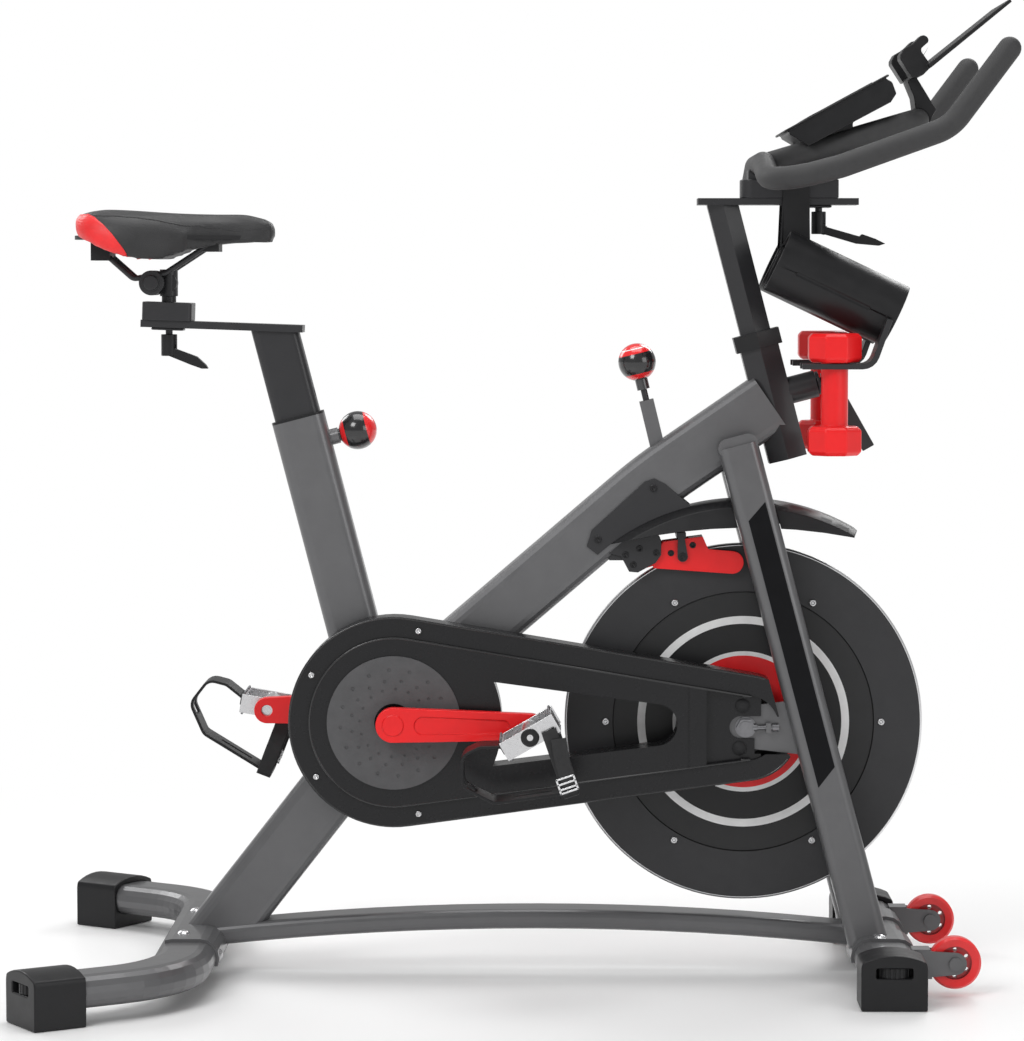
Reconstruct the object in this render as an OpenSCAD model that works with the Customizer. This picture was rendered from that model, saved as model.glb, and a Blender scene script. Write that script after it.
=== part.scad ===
// Indoor spin bike as separate named parts in one frame.
// X points forward, Y to the rider's left, Z up. The origin is on the floor under the middle.

/* [Part shown] */
// Name of the part to draw, or all of them

/* [Frame] */
// Depth of the main beam
beam_depth = 76; // [60:1:90]
// Width of the main beam
beam_width = 54; // [40:1:70]
// Corner radius of the main beam
beam_round = 14; // [4:1:20]
// Wall of every frame tube
wall = 2.5; // [2:0.5:6]
// Backward lean of the seat tube and the head tube
lean = 14.6; // [10:0.1:20]
// Depth of the seat tube
seat_tube_depth = 66; // [50:1:80]
// Width of the seat tube
seat_tube_width = 50; // [40:1:60]
// Depth of a fork leg
leg_depth = 50; // [36:1:60]
// Thickness of a fork leg
leg_width = 40; // [30:1:50]

/* [Feet] */
// Width of a stabiliser tube
foot_width = 74; // [60:1:90]
// Height of a stabiliser tube
foot_height = 40; // [30:1:50]
// Height of a stabiliser tube's middle above the floor
foot_z = 38; // [30:1:50]
// Length of an end cap
cap_length = 67; // [50:1:90]
// Width of an end cap
cap_width = 80; // [70:1:100]
// Height of an end cap
cap_height = 67; // [60:1:80]

/* [Drive] */
// Height of the crank axle
crank_z = 324.5; // [300:0.5:350]
// Crank length between the axles
crank_length = 169.5; // [160:0.5:180]
// Radius of the flywheel
flywheel_radius = 224.5; // [180:0.5:260]
// Radius of the drive pulley
drive_radius = 100; // [80:1:120]
// Radius of the flywheel pulley
driven_radius = 34; // [20:1:45]
// Turn of the right pedal about its axle
right_pedal_turn = 150; // [0:1:360]
// Turn of the left pedal about its axle
left_pedal_turn = 190; // [0:1:360]

/* [Seat and handlebar] */
// Slope of the seat rail, down to the front
rail_tilt = 2; // [0:0.5:5]
// Radius of the handlebar tube
bar_radius = 14; // [12:0.5:18]
// Half of the handlebar's width
bar_half = 226; // [180:1:260]
// Slope of the bottle cups, down to the front
cup_slope = 25.5; // [0:0.5:40]
// Outer radius of a bottle cup
cup_radius = 40; // [35:1:50]

/* [Hidden] */
$fn = 48;
red = [0.85, 0.12, 0.12];
grey = [0.38, 0.38, 0.39];
dark = [0.16, 0.16, 0.17];
black = [0.08, 0.08, 0.09];
silver = [0.8, 0.8, 0.81];
fit = 0.06;
crank_x = -155.3;
axle_x = 281;
axle_z = 318;
crank = [crank_x, crank_z];
axle = [axle_x, axle_z];

// Main beam line in X and Z, foot to head.
beam_line = [[-388.3, 38.7], [-140.3, 356], [165.9, 618.6], [312.6, 719.4]];
beam_bend = 600;
// Seat tube: mouth centre, and the way down its bore.
seat_mouth = [-277.3, 0, 698.2];
seat_tube_length = 345;
// Head tube: lower end centre; its length and its collar's.
head_foot = [335.5, 0, 648.6];
head_length = 143;
collar_length = 20;
// Rear stabiliser line in X and Y, and its bend.
rear_line = [[-541.6, -344.7], [-410, -260], [-410, 260], [-541.6, 344.7]];
rear_bend = 150;
rear_x = -410;
front_x = 450;
front_half = 198;
// Depth of the socket that each end cap slides on with, and the frames of the right-hand caps.
socket = 20;
rear_way = unit(rear_line[0] - rear_line[1]);
rear_turn = atan2(rear_way[1], rear_way[0]);
cap_rear = concat(rear_line[0] - socket * rear_way, [0]);
cap_front = [front_x, -front_half, 0];
plate_wall = 4;
// Fork leg: top and bottom centres of the right leg.
leg_top = [268, -45.5, 678];
leg_foot = [433.5, -79, 50];
leg_round = 12;
// Guard outline radii about the two axles.
guard_big = 131;
guard_small = 66;
belt_gap = 0.3;
belt_thick = 4;
// Brake rod: knob centre and lean.
knob_at = [146.9, 0, 769.3];
rod_lean = 13.67;
arm_pivot = [142.6, 516.9];
link_pivot = [203.9, 526.7];
wheel_at = [532.6, 40.5];
wheel_y = 157;
cup_rear = [318, 0, 896.5];
cup_length = 162;
cup_y = 61;

rail_radius = 3812.5;
rail_sweep = 6.15;
rail_mid_x = 24;
rail_mid_z = 70;
knob_down = -32.6;
pin_up = 82;
wheel_in = 42.5;
seat_rail_at = [-371.5, 0, 810];
seat_pin_x = -439;
clamp_at = [-458.1, 868.2];
bar_pin_x = 373;
bar_tip = [582.2, 1146];
console_at = [325.8, 0, 1052];
bell_x = 387;
bell_y = 95;
right_tip = [crank_x + crank_length, crank_z - 2];
left_tip = [crank_x - crank_length, crank_z - 4];
cage_line = [[38, -6], [60, -18], [84, -20], [102, 14], [78, 50], [-8, 84]];

function unit(v) = v / norm(v);

// Puts children in a frame with the given axes and origin.
module frame(x, y, z, at) {
    multmatrix([[x[0], y[0], z[0], at[0]], [x[1], y[1], z[1], at[1]],
        [x[2], y[2], z[2], at[2]], [0, 0, 0, 1]]) children();
}

// Straight round rod between two points.
module rod(a, b, r) {
    d = b - a;
    translate(a)
        rotate([0, acos(d[2] / norm(d)), atan2(d[1], d[0])])
            cylinder(h = norm(d), r = r);
}

// Points of the arc that rounds the corner b of a-b-c.
function arc_at(a, b, c, bend, n) =
    let (u = unit(b - a), v = unit(c - b), turn = acos(u * v), side = unit(v - u * (u * v)),
        start = b - u * bend * tan(turn / 2))
    [for (k = [0 : n]) start + side * bend * (1 - cos(turn * k / n)) + u * bend * sin(turn * k / n)];

// Corner points turned into a line with every inner corner rounded.
function rounded(p, bend, n) = concat([p[0]],
    [for (i = [1 : len(p) - 2]) for (q = arc_at(p[i - 1], p[i], p[i + 1], bend, n)) q],
    [p[len(p) - 1]]);

function backwards(p) = [for (i = [len(p) - 1 : -1 : 0]) p[i]];
function heading(p, i) = unit(p[min(i + 1, len(p) - 1)] - p[max(i - 1, 0)]);
function ring_of(r, n) = [for (i = [0 : n - 1]) r * [cos(360 * i / n), sin(360 * i / n)]];

// Outline of a rectangle with rounded corners, as points.
function soft_rect(w, h, r) = [for (q = [0 : 3]) for (k = [0 : 4])
    let (a = 90 * q + 22.5 * k, x = q == 0 || q == 3 ? 1 : -1, y = q < 2 ? 1 : -1)
    [x * (w / 2 - r) + r * cos(a), y * (h / 2 - r) + r * sin(a)]];

// Solid or hollow section carried along a line; across is a direction never along the line.
module swept(line, across, outer, inner = [], size = []) {
    n = len(line);
    m = len(outer);
    shells = len(inner) > 0 ? [outer, inner] : [outer];
    points = [for (shell = shells) for (i = [0 : n - 1]) for (q = shell)
        let (t = heading(line, i), e = unit(cross(across, t)), s = len(size) > 0 ? size[i] : 1)
        line[i] + s * (e * q[0] + cross(t, e) * q[1])];
    walls = [for (i = [0 : n - 2]) for (j = [0 : m - 1])
        let (a = i * m + j, b = i * m + (j + 1) % m) each [[a, a + m, b + m], [a, b + m, b]]];
    far = (n - 1) * m;
    if (len(inner) == 0)
        polyhedron(points, concat(walls, [[for (j = [0 : m - 1]) j]],
            [[for (j = [m - 1 : -1 : 0]) far + j]]));
    else
        polyhedron(points, concat(walls,
            [for (f = walls) [f[2] + n * m, f[1] + n * m, f[0] + n * m]],
            [for (j = [0 : m - 1]) let (k = (j + 1) % m, o = n * m) each [[j, k, k + o], [j, k + o, j + o]]],
            [for (j = [0 : m - 1]) let (k = (j + 1) % m, o = n * m)
                each [[far + k, far + j, far + j + o], [far + k, far + j + o, far + k + o]]]));
}

// Flat band of the given thickness along a line in X and Z.
module band(line, thick) {
    left = [for (i = [0 : len(line) - 1]) let (t = heading(line, i)) line[i] + thick / 2 * [-t[1], t[0]]];
    right = [for (i = [0 : len(line) - 1]) let (t = heading(line, i)) line[i] - thick / 2 * [-t[1], t[0]]];
    polygon(concat(left, backwards(right)));
}

function in_xz(p) = [for (q = p) [q[0], 0, q[1]]];
function in_xy(p, z) = [for (q = p) [q[0], q[1], z]];

// Extrudes a shape drawn in X and Z from y0 to y1.
module slab(y0, y1) {
    translate([0, y1, 0]) rotate([90, 0, 0]) linear_extrude(y1 - y0) children();
}

// Round bar along Y.
module bar(y0, y1, at, r) {
    translate([at[0], y1, at[1]]) rotate([90, 0, 0]) cylinder(h = y1 - y0, r = r);
}

// Repeats children on both sides of the bike.
module both() {
    children();
    mirror([0, 1, 0]) children();
}

module round_rect(w, h, r) {
    square([w - 2 * r, h], center = true);
    square([w, h - 2 * r], center = true);
    for (x = [-1, 1]) for (y = [-1, 1])
        translate([x * (w / 2 - r), y * (h / 2 - r)]) circle(r);
}

// Two circles and the band between their outer tangents.
module taper(a, ra, b, rb) {
    t = atan2(b[1] - a[1], b[0] - a[0]);
    k = acos((ra - rb) / norm(b - a));
    polygon(concat([for (i = [0 : 30]) b + rb * [cos(t - k + 2 * k * i / 30), sin(t - k + 2 * k * i / 30)]],
        [for (i = [0 : 40]) let (q = t + k + (360 - 2 * k) * i / 40) a + ra * [cos(q), sin(q)]]));
}

// Six-sided tube section with a ridge on each side.
module six(depth, width, flat) {
    polygon([[depth, flat], [0, width], [-depth, flat], [-depth, -flat], [0, -width], [depth, -flat]]);
}

// Frames along the leaning tubes: z runs up the tube from the given point.
module leaning(at) {
    translate(at) rotate([0, -lean, 0]) children();
}

function beam_section(grow) = soft_rect(beam_depth + 2 * grow, beam_width + 2 * grow, beam_round + grow);
beam_path = in_xz(rounded(beam_line, beam_bend, 5));

module beam_solid(grow) {
    swept(beam_path, [0, 1, 0], beam_section(grow));
}

module head_solid(grow) {
    leaning(head_foot) translate([0, 0, -grow]) linear_extrude(head_length + 2 * grow)
        six(24 + grow, 26 + grow, 16 + grow / 2);
}

// Section of a stabiliser tube, as points.
function foot_section(grow) = soft_rect(foot_width + 2 * grow, foot_height + 2 * grow,
    foot_height / 2 - 0.5 + grow);

// Section of a stabiliser tube that runs along Y, in place.
module saddle_shape(x, grow) {
    translate([x, foot_z]) polygon(foot_section(grow));
}

// Bowed rail between the two stabilisers, as a solid bar.
rail_path = [for (i = [-8 : 8]) let (a = rail_sweep * i / 8)
    [rail_mid_x + rail_radius * sin(a), 0, rail_mid_z - rail_radius * (1 - cos(a))]];

module rail_solid() {
    swept(rail_path, [0, 1, 0], soft_rect(25, 60, 9));
}

// Runs children in a frame whose z points up the brake rod from the knob's centre.
module rod_frame() {
    translate(knob_at) rotate([0, -rod_lean, 0]) children();
}

// Beam with the crank's bearing shell, the brake rod's sleeve and the plate over the rear tube.
module main_beam() {
    color(grey) difference() {
        union() {
            difference() {
                swept(beam_path, [0, 1, 0], beam_section(0), beam_section(-wall));
                slab(-120, 120) saddle_shape(rear_x, plate_wall);
                translate([-500, -60, -60]) cube([400, 120, 110]);
                head_solid(0);
                rail_solid();
            }
            bar(-30, 30, crank, 27);
            rod_frame() translate([-9, -9, -196]) cube([18, 18, 147]);
            slab(-128, 128) difference() {
                saddle_shape(rear_x, plate_wall);
                saddle_shape(rear_x, 0);
                translate([rear_x - 60, foot_z - 40]) square([34, 80]);
                translate([rear_x - 60, foot_z - 40]) square([120, 30]);
            }
        }
        bar(-31, 31, crank, 20);
        rod_frame() translate([0, 0, -200]) cylinder(h = 160, r = 4 + fit);
    }
}

module seat_tube() {
    color(grey) difference() {
        leaning(seat_mouth) {
            translate([0, 0, -400]) linear_extrude(400) difference() {
                round_rect(seat_tube_depth, seat_tube_width, 14);
                round_rect(seat_tube_depth - 5, seat_tube_width - 5, 11.5);
            }
            translate([31, 0, knob_down]) rotate([0, 90, 0]) cylinder(h = 13, r = 10);
        }
        leaning(seat_mouth) translate([28, 0, knob_down]) rotate([0, 90, 0])
            cylinder(h = 20, r = 5 + fit);
        beam_solid(0);
    }
}

module head_tube() {
    color(dark) difference() {
        union() {
            leaning(head_foot) linear_extrude(head_length) difference() {
                six(24, 26, 16);
                six(20.8, 22.6, 13.8);
            }
            leaning(head_foot) translate([22, 0, pin_up]) rotate([0, 90, 0]) cylinder(h = 36, r = 17);
        }
        leaning(head_foot) translate([19.5, 0, pin_up]) rotate([0, 90, 0]) cylinder(h = 40, r = 6 + fit);
    }
}

module leg_frame() {
    d = unit(leg_top - leg_foot);
    y = unit([0, 1, 0] - d * d[1]);
    frame(cross(y, d), y, d, leg_foot) children();
}

module leg_solid() {
    long = norm(leg_top - leg_foot);
    leg_frame() linear_extrude(long - leg_round) round_rect(leg_depth, leg_width, leg_round);
}

module leg_tube() {
    long = norm(leg_top - leg_foot);
    leg_frame() {
        linear_extrude(long - leg_round) difference() {
            round_rect(leg_depth, leg_width, leg_round);
            round_rect(leg_depth - 2 * wall, leg_width - 2 * wall, leg_round - wall);
        }
        translate([0, 0, long - leg_round]) {
            translate([leg_round - leg_depth / 2, -leg_width / 2 + 4, 0])
                cube([leg_depth - 2 * leg_round, leg_width - 8, leg_round]);
            for (x = [-1, 1]) translate([x * (leg_depth / 2 - leg_round), leg_width / 2 - 4, 0])
                rotate([90, 0, 0]) cylinder(h = leg_width - 8, r = leg_round);
        }
    }
}

module fork_leg() {
    color(grey) difference() {
        union() {
            difference() {
                leg_tube();
                slab(-130, -20) saddle_shape(front_x, plate_wall);
                translate([380, -130, -40]) cube([130, 110, 78]);
            }
            slab(-118, -46) difference() {
                saddle_shape(front_x, plate_wall);
                saddle_shape(front_x, 0);
                translate([front_x - 60, foot_z - 40]) square([120, 34]);
            }
            difference() {
                slab(-66, -60) taper(axle, 26, [350, axle_z], 34);
                leg_solid();
            }
            translate([306, -78, axle_z - 6]) cube([6, 12.5, 12]);
        }
        beam_solid(0);
        bar(-70, -55, axle, 8);
        rod([290, -71, axle_z], [330, -71, axle_z], 3);
    }
}

module fork_leg_right() {
    fork_leg();
}

module fork_leg_left() {
    mirror([0, 1, 0]) fork_leg();
}

module lower_rail() {
    color(grey) difference() {
        swept(rail_path, [0, 1, 0], soft_rect(25, 60, 9), soft_rect(25 - 2 * wall, 60 - 2 * wall, 9 - wall));
        slab(-60, 60) saddle_shape(rear_x, plate_wall);
        slab(-60, 60) saddle_shape(front_x, 0);
    }
}

module rear_stabiliser() {
    color(grey) swept(in_xy(rounded(rear_line, rear_bend, 8), foot_z), [0, 0, 1],
        foot_section(0), foot_section(-wall));
}

module front_stabiliser() {
    color(grey) slab(-front_half - socket, front_half + socket) difference() {
        saddle_shape(front_x, 0);
        saddle_shape(front_x, -wall);
    }
}

// One end cap along x, with its inner face at the origin.
module cap() {
    difference() {
        rotate([90, 0, 90]) linear_extrude(cap_length) intersection() {
            translate([0, cap_height - 59]) round_rect(cap_width, 120, 18);
            translate([0, cap_height - 90]) circle(90);
            translate([-cap_width, 0]) square([2 * cap_width, 100]);
        }
        translate([-1, 0, foot_z]) rotate([90, 0, 90]) linear_extrude(socket + 1)
            polygon(foot_section(0));
        translate([wheel_in, 0, 39]) cylinder(h = 12.5, r = 24.2);
        translate([52, -22, 39]) cube([20, 44, 12.5]);
        translate([wheel_in, 0, -1]) cylinder(h = 11.5, r = 15.6);
        translate([wheel_in, 0, 10]) cylinder(h = 30, r = 5 + fit);
    }
}

module at_rear() {
    translate(cap_rear) rotate([0, 0, rear_turn]) children();
}

module at_front() {
    translate(cap_front) rotate([0, 0, -90]) children();
}

module foot_caps() {
    color(black) both() {
        at_rear() cap();
        at_front() cap();
    }
}

// Thumbwheel, screw and foot of one leveller.
module leveller() {
    translate([wheel_in, 0, 0]) {
        difference() {
            translate([0, 0, 39.5]) cylinder(h = 11.5, r = 23.5);
            for (i = [0 : 23]) rotate([0, 0, 15 * i]) translate([23.8, 0, 39]) cylinder(h = 13, r = 1.3);
        }
        translate([0, 0, 9]) cylinder(h = 31, r = 5);
        translate([0, 0, 1]) cylinder(h = 9, r = 15);
    }
}

module leveller_rear_right() {
    color(dark) at_rear() leveller();
}

module leveller_rear_left() {
    color(dark) mirror([0, 1, 0]) at_rear() leveller();
}

module leveller_front_right() {
    color(dark) at_front() leveller();
}

module leveller_front_left() {
    color(dark) mirror([0, 1, 0]) at_front() leveller();
}

// Domed bolt head standing on z = 0.
module dome() {
    intersection() {
        translate([0, 0, -6]) sphere(10);
        cylinder(h = 5, r = 9);
    }
}

module frame_bolts() {
    top = foot_z + foot_height / 2 + plate_wall;
    side = foot_width / 2 + plate_wall;
    color(silver) both() {
        translate([rear_x - 7, -84, top]) dome();
        difference() {
            translate([rear_x + side - 1.6, -104, foot_z]) rotate([0, 90, 0]) dome();
            slab(-120, 120) saddle_shape(rear_x, plate_wall);
        }
        translate([front_x - 4, -107, top]) dome();
    }
}

// Fork of one transport wheel, with its bolt.
module wheel_bracket() {
    difference() {
        union() {
            for (y = [-wheel_y - 14, -wheel_y + 11]) slab(y, y + 3) {
                taper([500, 40], 16, wheel_at, 13.6);
                translate([480, 22]) square([24, 34]);
            }
            translate([480, -wheel_y - 14, 55]) cube([22, 28, 3]);
            translate([488, -wheel_y - 14, 24]) cube([4, 28, 32]);
        }
        slab(-wheel_y - 20, -wheel_y + 20) saddle_shape(front_x, 0);
    }
    bar(-wheel_y - 17, -wheel_y + 17, wheel_at, 4);
    bar(-wheel_y - 18, -wheel_y - 14, wheel_at, 8);
    bar(-wheel_y + 14, -wheel_y + 18, wheel_at, 8);
}

module wheel_brackets() {
    color(grey) both() wheel_bracket();
}

module transport_wheel() {
    translate([wheel_at[0], -wheel_y, wheel_at[1]]) rotate([90, 0, 0]) difference() {
        rotate_extrude() {
            polygon([[4 + fit, -10], [12, -10], [12, -4], [20, -4], [20, -8], [29, -10], [32, -6], [32, 6],
                [29, 10], [20, 8], [20, 4], [12, 4], [12, 10], [4 + fit, 10]]);
        }
        for (i = [0 : 5]) rotate([0, 0, 60 * i + 30]) translate([16, 0, -5]) cylinder(h = 10, r = 2.6);
    }
}

module wheel_right() {
    color(red) transport_wheel();
}

module wheel_left() {
    color(red) mirror([0, 1, 0]) transport_wheel();
}

module spindle_bearings() {
    color(silver) both() slab(-28, -16) difference() {
        translate(crank) circle(20);
        translate(crank) circle(10 + fit);
    }
}

// Outline of the guard, cut off along the fork leg.
module guard_outline(grow) {
    difference() {
        taper(crank, guard_big + grow, axle, guard_small + grow);
        polygon([[247, 600], [500, 600], [500, 0], [415, 0]]);
    }
}

module guard_window(grow) {
    difference() {
        taper([-60, 323], 55.6 + grow, [170, 322], 26 + grow);
        translate(crank) circle(134 - grow);
    }
}

module behind(x) {
    translate([x - 1000, -500]) square([1000, 2000]);
}

module guard_outer() {
    color(black) difference() {
        union() {
            slab(-76, -33) guard_outline(0);
            slab(-80, -75) intersection() {
                guard_outline(-25);
                behind(232);
            }
        }
        slab(-67, -32) difference() {
            guard_outline(-3);
            guard_window(3);
        }
        slab(-73, -66) intersection() {
            difference() {
                guard_outline(-3);
                guard_window(3);
            }
            behind(226);
        }
        slab(-70, -32) translate([300, 270]) square([60, 96]);
        slab(-77, -70) intersection() {
            guard_outline(-28);
            difference() {
                behind(206);
                guard_window(3);
            }
        }
        slab(-81, -70) difference() {
            guard_outline(-25);
            behind(233);
        }
        slab(-81, -79) intersection() {
            guard_outline(-24);
            translate([209, 0]) square([2, 600]);
        }
        slab(-90, -20) guard_window(0);
        slab(-90, -66) taper([275, axle_z], 14, [420, axle_z], 14);
        slab(-90, -66) translate([292, 285]) square([100, 33]);
        bar(-90, -66, [277, 345], 9);
        bar(-90, -66, [273.5, 292], 9);
        bar(-90, -60, crank, 30);
    }
}

module guard_inner() {
    color(black) slab(-33, -30) difference() {
        guard_outline(0);
        guard_window(0);
        translate(crank) circle(22);
        translate(axle) circle(26);
    }
}

module guard_disc() {
    color(grey) difference() {
        slab(-83, -80) difference() {
            translate(crank) circle(83);
            translate(crank) circle(24);
        }
        for (i = [0 : 15]) for (ring = [0 : 2]) {
            turn = 22.5 * i + 5 + 7 * ring;
            reach = [66, 52.6, 42][ring];
            bar(-84, -82, crank + reach * [cos(turn), sin(turn)], [2.3, 2, 1.7][ring]);
        }
    }
}

module drive_belt() {
    near = belt_gap + belt_thick;
    color(black) slab(-54.5, -35.5) difference() {
        taper(crank, drive_radius + near, axle, driven_radius + near);
        taper(crank, drive_radius + belt_gap, axle, driven_radius + belt_gap);
    }
}

module flywheel_axle() {
    color(silver) {
        bar(-77, 77, axle, 8);
        both() {
            bar(-60, -58.5, axle, 12);
            bar(-68, -66, axle, 13);
            translate([axle_x, -68, axle_z]) rotate([90, 0, 0]) cylinder(h = 7, r = 12, $fn = 6);
            rod([294, -71, axle_z], [320, -71, axle_z], 3);
            rod([290, -71, axle_z], [295, -71, axle_z], 4.5);
            rod([314, -71, axle_z], [322, -71, axle_z], 4.9);
        }
    }
}

module flywheel() {
    color(dark) translate([axle_x, 0, axle_z]) rotate([90, 0, 0]) {
        rotate_extrude($fn = 96) polygon([[8 + fit, -34], [20, -34], [20, -12], [30, -7], [163, -7],
            [164, -9], [222.5, -9], [flywheel_radius, -7], [flywheel_radius, 7], [222.5, 9], [164, 9],
            [163, 7], [30, 7], [20, 12], [20, 34], [8 + fit, 34]]);
        for (i = [0 : 5]) rotate([0, 0, 60 * i]) translate([173, 0, -10.5]) difference() {
            cylinder(h = 21, r = 4);
            translate([0, 0, -1]) cylinder(h = 23, r = 1.8);
        }
    }
}

module flywheel_pulley() {
    color(dark) difference() {
        union() {
            bar(-56, -34, axle, driven_radius);
            bar(-57.5, -55, axle, 16);
        }
        bar(-60, -30, axle, 8 + fit);
    }
}

module crank_spindle() {
    color(silver) {
        bar(-108, 97, crank, 10);
        both() bar(-34, -31, crank, 15);
    }
}

module drive_pulley() {
    color(dark) difference() {
        union() {
            bar(-48, -42, crank, 93);
            bar(-57, -34.5, crank, 24);
            slab(-55, -35) difference() {
                translate(crank) circle(drive_radius);
                translate(crank) circle(91);
            }
        }
        bar(-60, -34, crank, 10);
        bar(-34.6, -33, crank, 15.5);
        for (i = [0 : 4]) bar(-50, -40, crank + 57 * [cos(72 * i), sin(72 * i)], 20);
    }
}

// Crank arm between its axles, its outer face at y0.
module crank_arm(y0, tip, hub_y) {
    color(red) difference() {
        slab(y0, y0 + 16) taper(crank, 21.5, tip, 16.5);
        bar(y0 - 1, y0 + 17, crank, 10);
        bar(y0 - 1, y0 + 17, tip, 7);
        slab(hub_y - 1.5, hub_y + 1.5) taper(crank + 0.22 * (tip - crank), 11, crank + 0.8 * (tip - crank), 8);
    }
}

module crank_right() {
    crank_arm(-111, right_tip, -111);
    color(dark) bar(-113, -108, crank, 13);
}

module crank_left() {
    crank_arm(84, left_tip, 100);
    color(dark) bar(97, 102, crank, 13);
}

// Pedal spindle outwards along z from the crank's outer face.
module pedal_spindle() {
    translate([0, 0, -9]) cylinder(h = 9, r = 7);
    cylinder(h = 4, r = 10);
    cylinder(h = 98, r = 6);
}

module pedal_spindles() {
    color(dark) {
        translate([right_tip[0], -111, right_tip[1]]) rotate([90, 0, 0]) pedal_spindle();
        translate([left_tip[0], 100, left_tip[1]]) rotate([-90, 0, 0]) pedal_spindle();
    }
}

// Pedal lying along y from 0 to 90, toe towards x, foot side up.
module pedal() {
    difference() {
        union() {
            rotate([-90, 0, 0]) translate([0, 0, -2]) cylinder(h = 93, r = 11);
            for (x = [-35, 32]) translate([x, 0, -10]) cube([3, 90, 20]);
            for (y = [0, 87]) translate([-36.5, y, -12]) cube([73, 3, 24]);
            for (y = [28, 58]) translate([-34, y, -4]) cube([68, 4, 8]);
            for (x = [-35, 32]) for (y = [12 : 14 : 72]) translate([x, y, -13]) cube([3, 6, 26]);
        }
        rotate([-90, 0, 0]) translate([0, 0, -3]) cylinder(h = 92, r = 6 + fit);
        for (y = [-1, 86]) translate([-31, y, 2]) cube([10, 5, 6]);
    }
}

// Toe cage and strap in the pedal's own frame.
module toe_cage() {
    difference() {
        slab(16, 74) band(rounded(cage_line, 14, 4), 3.5);
        translate([6, 39, 60]) rotate([0, 25, 0]) cube([46, 12, 30]);
        translate([66, 30, -6]) cube([50, 30, 34]);
    }
    translate([35, 22, -9]) cube([4, 46, 14]);
    translate([-24, 0, 4]) rotate([0, 11, 0]) difference() {
        translate([-9, -4.2, 0]) cube([18, 98.4, 84]);
        translate([-10, -2.2, -1]) cube([20, 94.4, 83]);
    }
}

module at_right_pedal() {
    translate([right_tip[0], -125, right_tip[1]]) rotate([0, right_pedal_turn, 0]) mirror([0, 1, 0])
        children();
}

module at_left_pedal() {
    translate([left_tip[0], 114, left_tip[1]]) rotate([0, left_pedal_turn, 0]) children();
}

module pedal_right() {
    color(silver) at_right_pedal() pedal();
}

module pedal_left() {
    color(silver) at_left_pedal() pedal();
}

module toe_cage_right() {
    color(black) at_right_pedal() toe_cage();
}

module toe_cage_left() {
    color(black) at_left_pedal() toe_cage();
}

module around_axle() {
    translate([axle_x, 0, axle_z]) rotate([90, 0, 0]) children();
}

module fender() {
    color(black) difference() {
        around_axle() rotate([0, 0, 60]) rotate_extrude(angle = 69, $fn = 96) polygon([[280, -31], [280, 31],
            [272, 46], [238, 56], [238, 53.4], [270, 43.6], [277, 29], [277, -29], [270, -43.6],
            [238, -53.4], [238, -56], [272, -46]]);
        slab(-70, 70) polygon(concat([[285, 300]],
            [for (a = [67 : 3 : 124]) [285 + 672 * cos(a), -107 + 672 * sin(a)]]));
        beam_solid(1.5);
        both() leg_clear();
        rod_frame() translate([-10, -10, -230]) cube([20, 20, 90]);
    }
}

// Space the fender leaves around the right leg.
module leg_clear() {
    leg_frame() translate([0, 0, 400]) linear_extrude(200)
        round_rect(leg_depth + 2, leg_width + 2, 13);
}

// Side plates that carry the fender, with the hinge block of the magnet arm below them.
module fender_bracket() {
    color(dark) {
        both() {
            slab(-30, -27) difference() {
                polygon([[84, 540], [90, 560], [156, 621], [168, 625], [182, 618], [222, 584], [222, 560],
                    [150, 540], [110, 520]]);
                translate(axle) circle(280);
            }
            for (p = [[98, 549], [167, 613]]) translate([p[0], -30, p[1]]) rotate([90, 0, 0])
                cylinder(h = 2.5, r = 4.5);
        }
        difference() {
            union() {
                both() slab(-25, -21) polygon([[112, 560], [112, 531], [127, 527], [137, 508], [148, 507],
                    [170, 519], [177, 529], [177, 548], [168, 560]]);
                slab(-21.5, 21.5) difference() {
                    translate([112, 522]) square([20, 24]);
                    translate(axle) circle(232);
                }
            }
            beam_solid(0);
        }
        both() bar(-25, -21, arm_pivot, 8);
        bar(-24, 24, arm_pivot, 4);
    }
}

module brake_rod() {
    color(dark) {
        rod_frame() translate([0, 0, -221]) cylinder(h = 226, r = 4);
        slab(-23.5, 23.5) translate([196, 550.5]) square([12, 6]);
        both() slab(-23.5, -20) taper([202, 552], 4, link_pivot, 6.5);
    }
}

module resistance_knob() {
    color(black) rod_frame() difference() {
        union() {
            sphere(23.5);
            translate([0, 0, -35]) cylinder(h = 15, r = 8);
        }
        translate([0, 0, -40]) cylinder(h = 46, r = 4 + fit);
    }
}

// Forked arm that lowers the magnets over the flywheel's rim.
module magnet_arm() {
    color(red) {
        both() slab(-19, -16) difference() {
            union() {
                taper(arm_pivot, 9, [176, 530], 12);
                polygon([[167, 516], [167, 523], [179, 545], [229, 552], [236, 536], [266, 533.6],
                    [266, 505], [167, 512]]);
                translate([266, 519.3]) circle(14.3);
            }
            translate(arm_pivot) circle(4 + fit);
        }
        slab(-19, 19) polygon([[212, 549.5], [228.6, 551.6], [230.5, 547.4], [212.6, 545]]);
        both() for (p = [[190, 528], [214, 526], [240, 521], [262, 519]]) bar(-16, -12, p, 9);
    }
}

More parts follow.
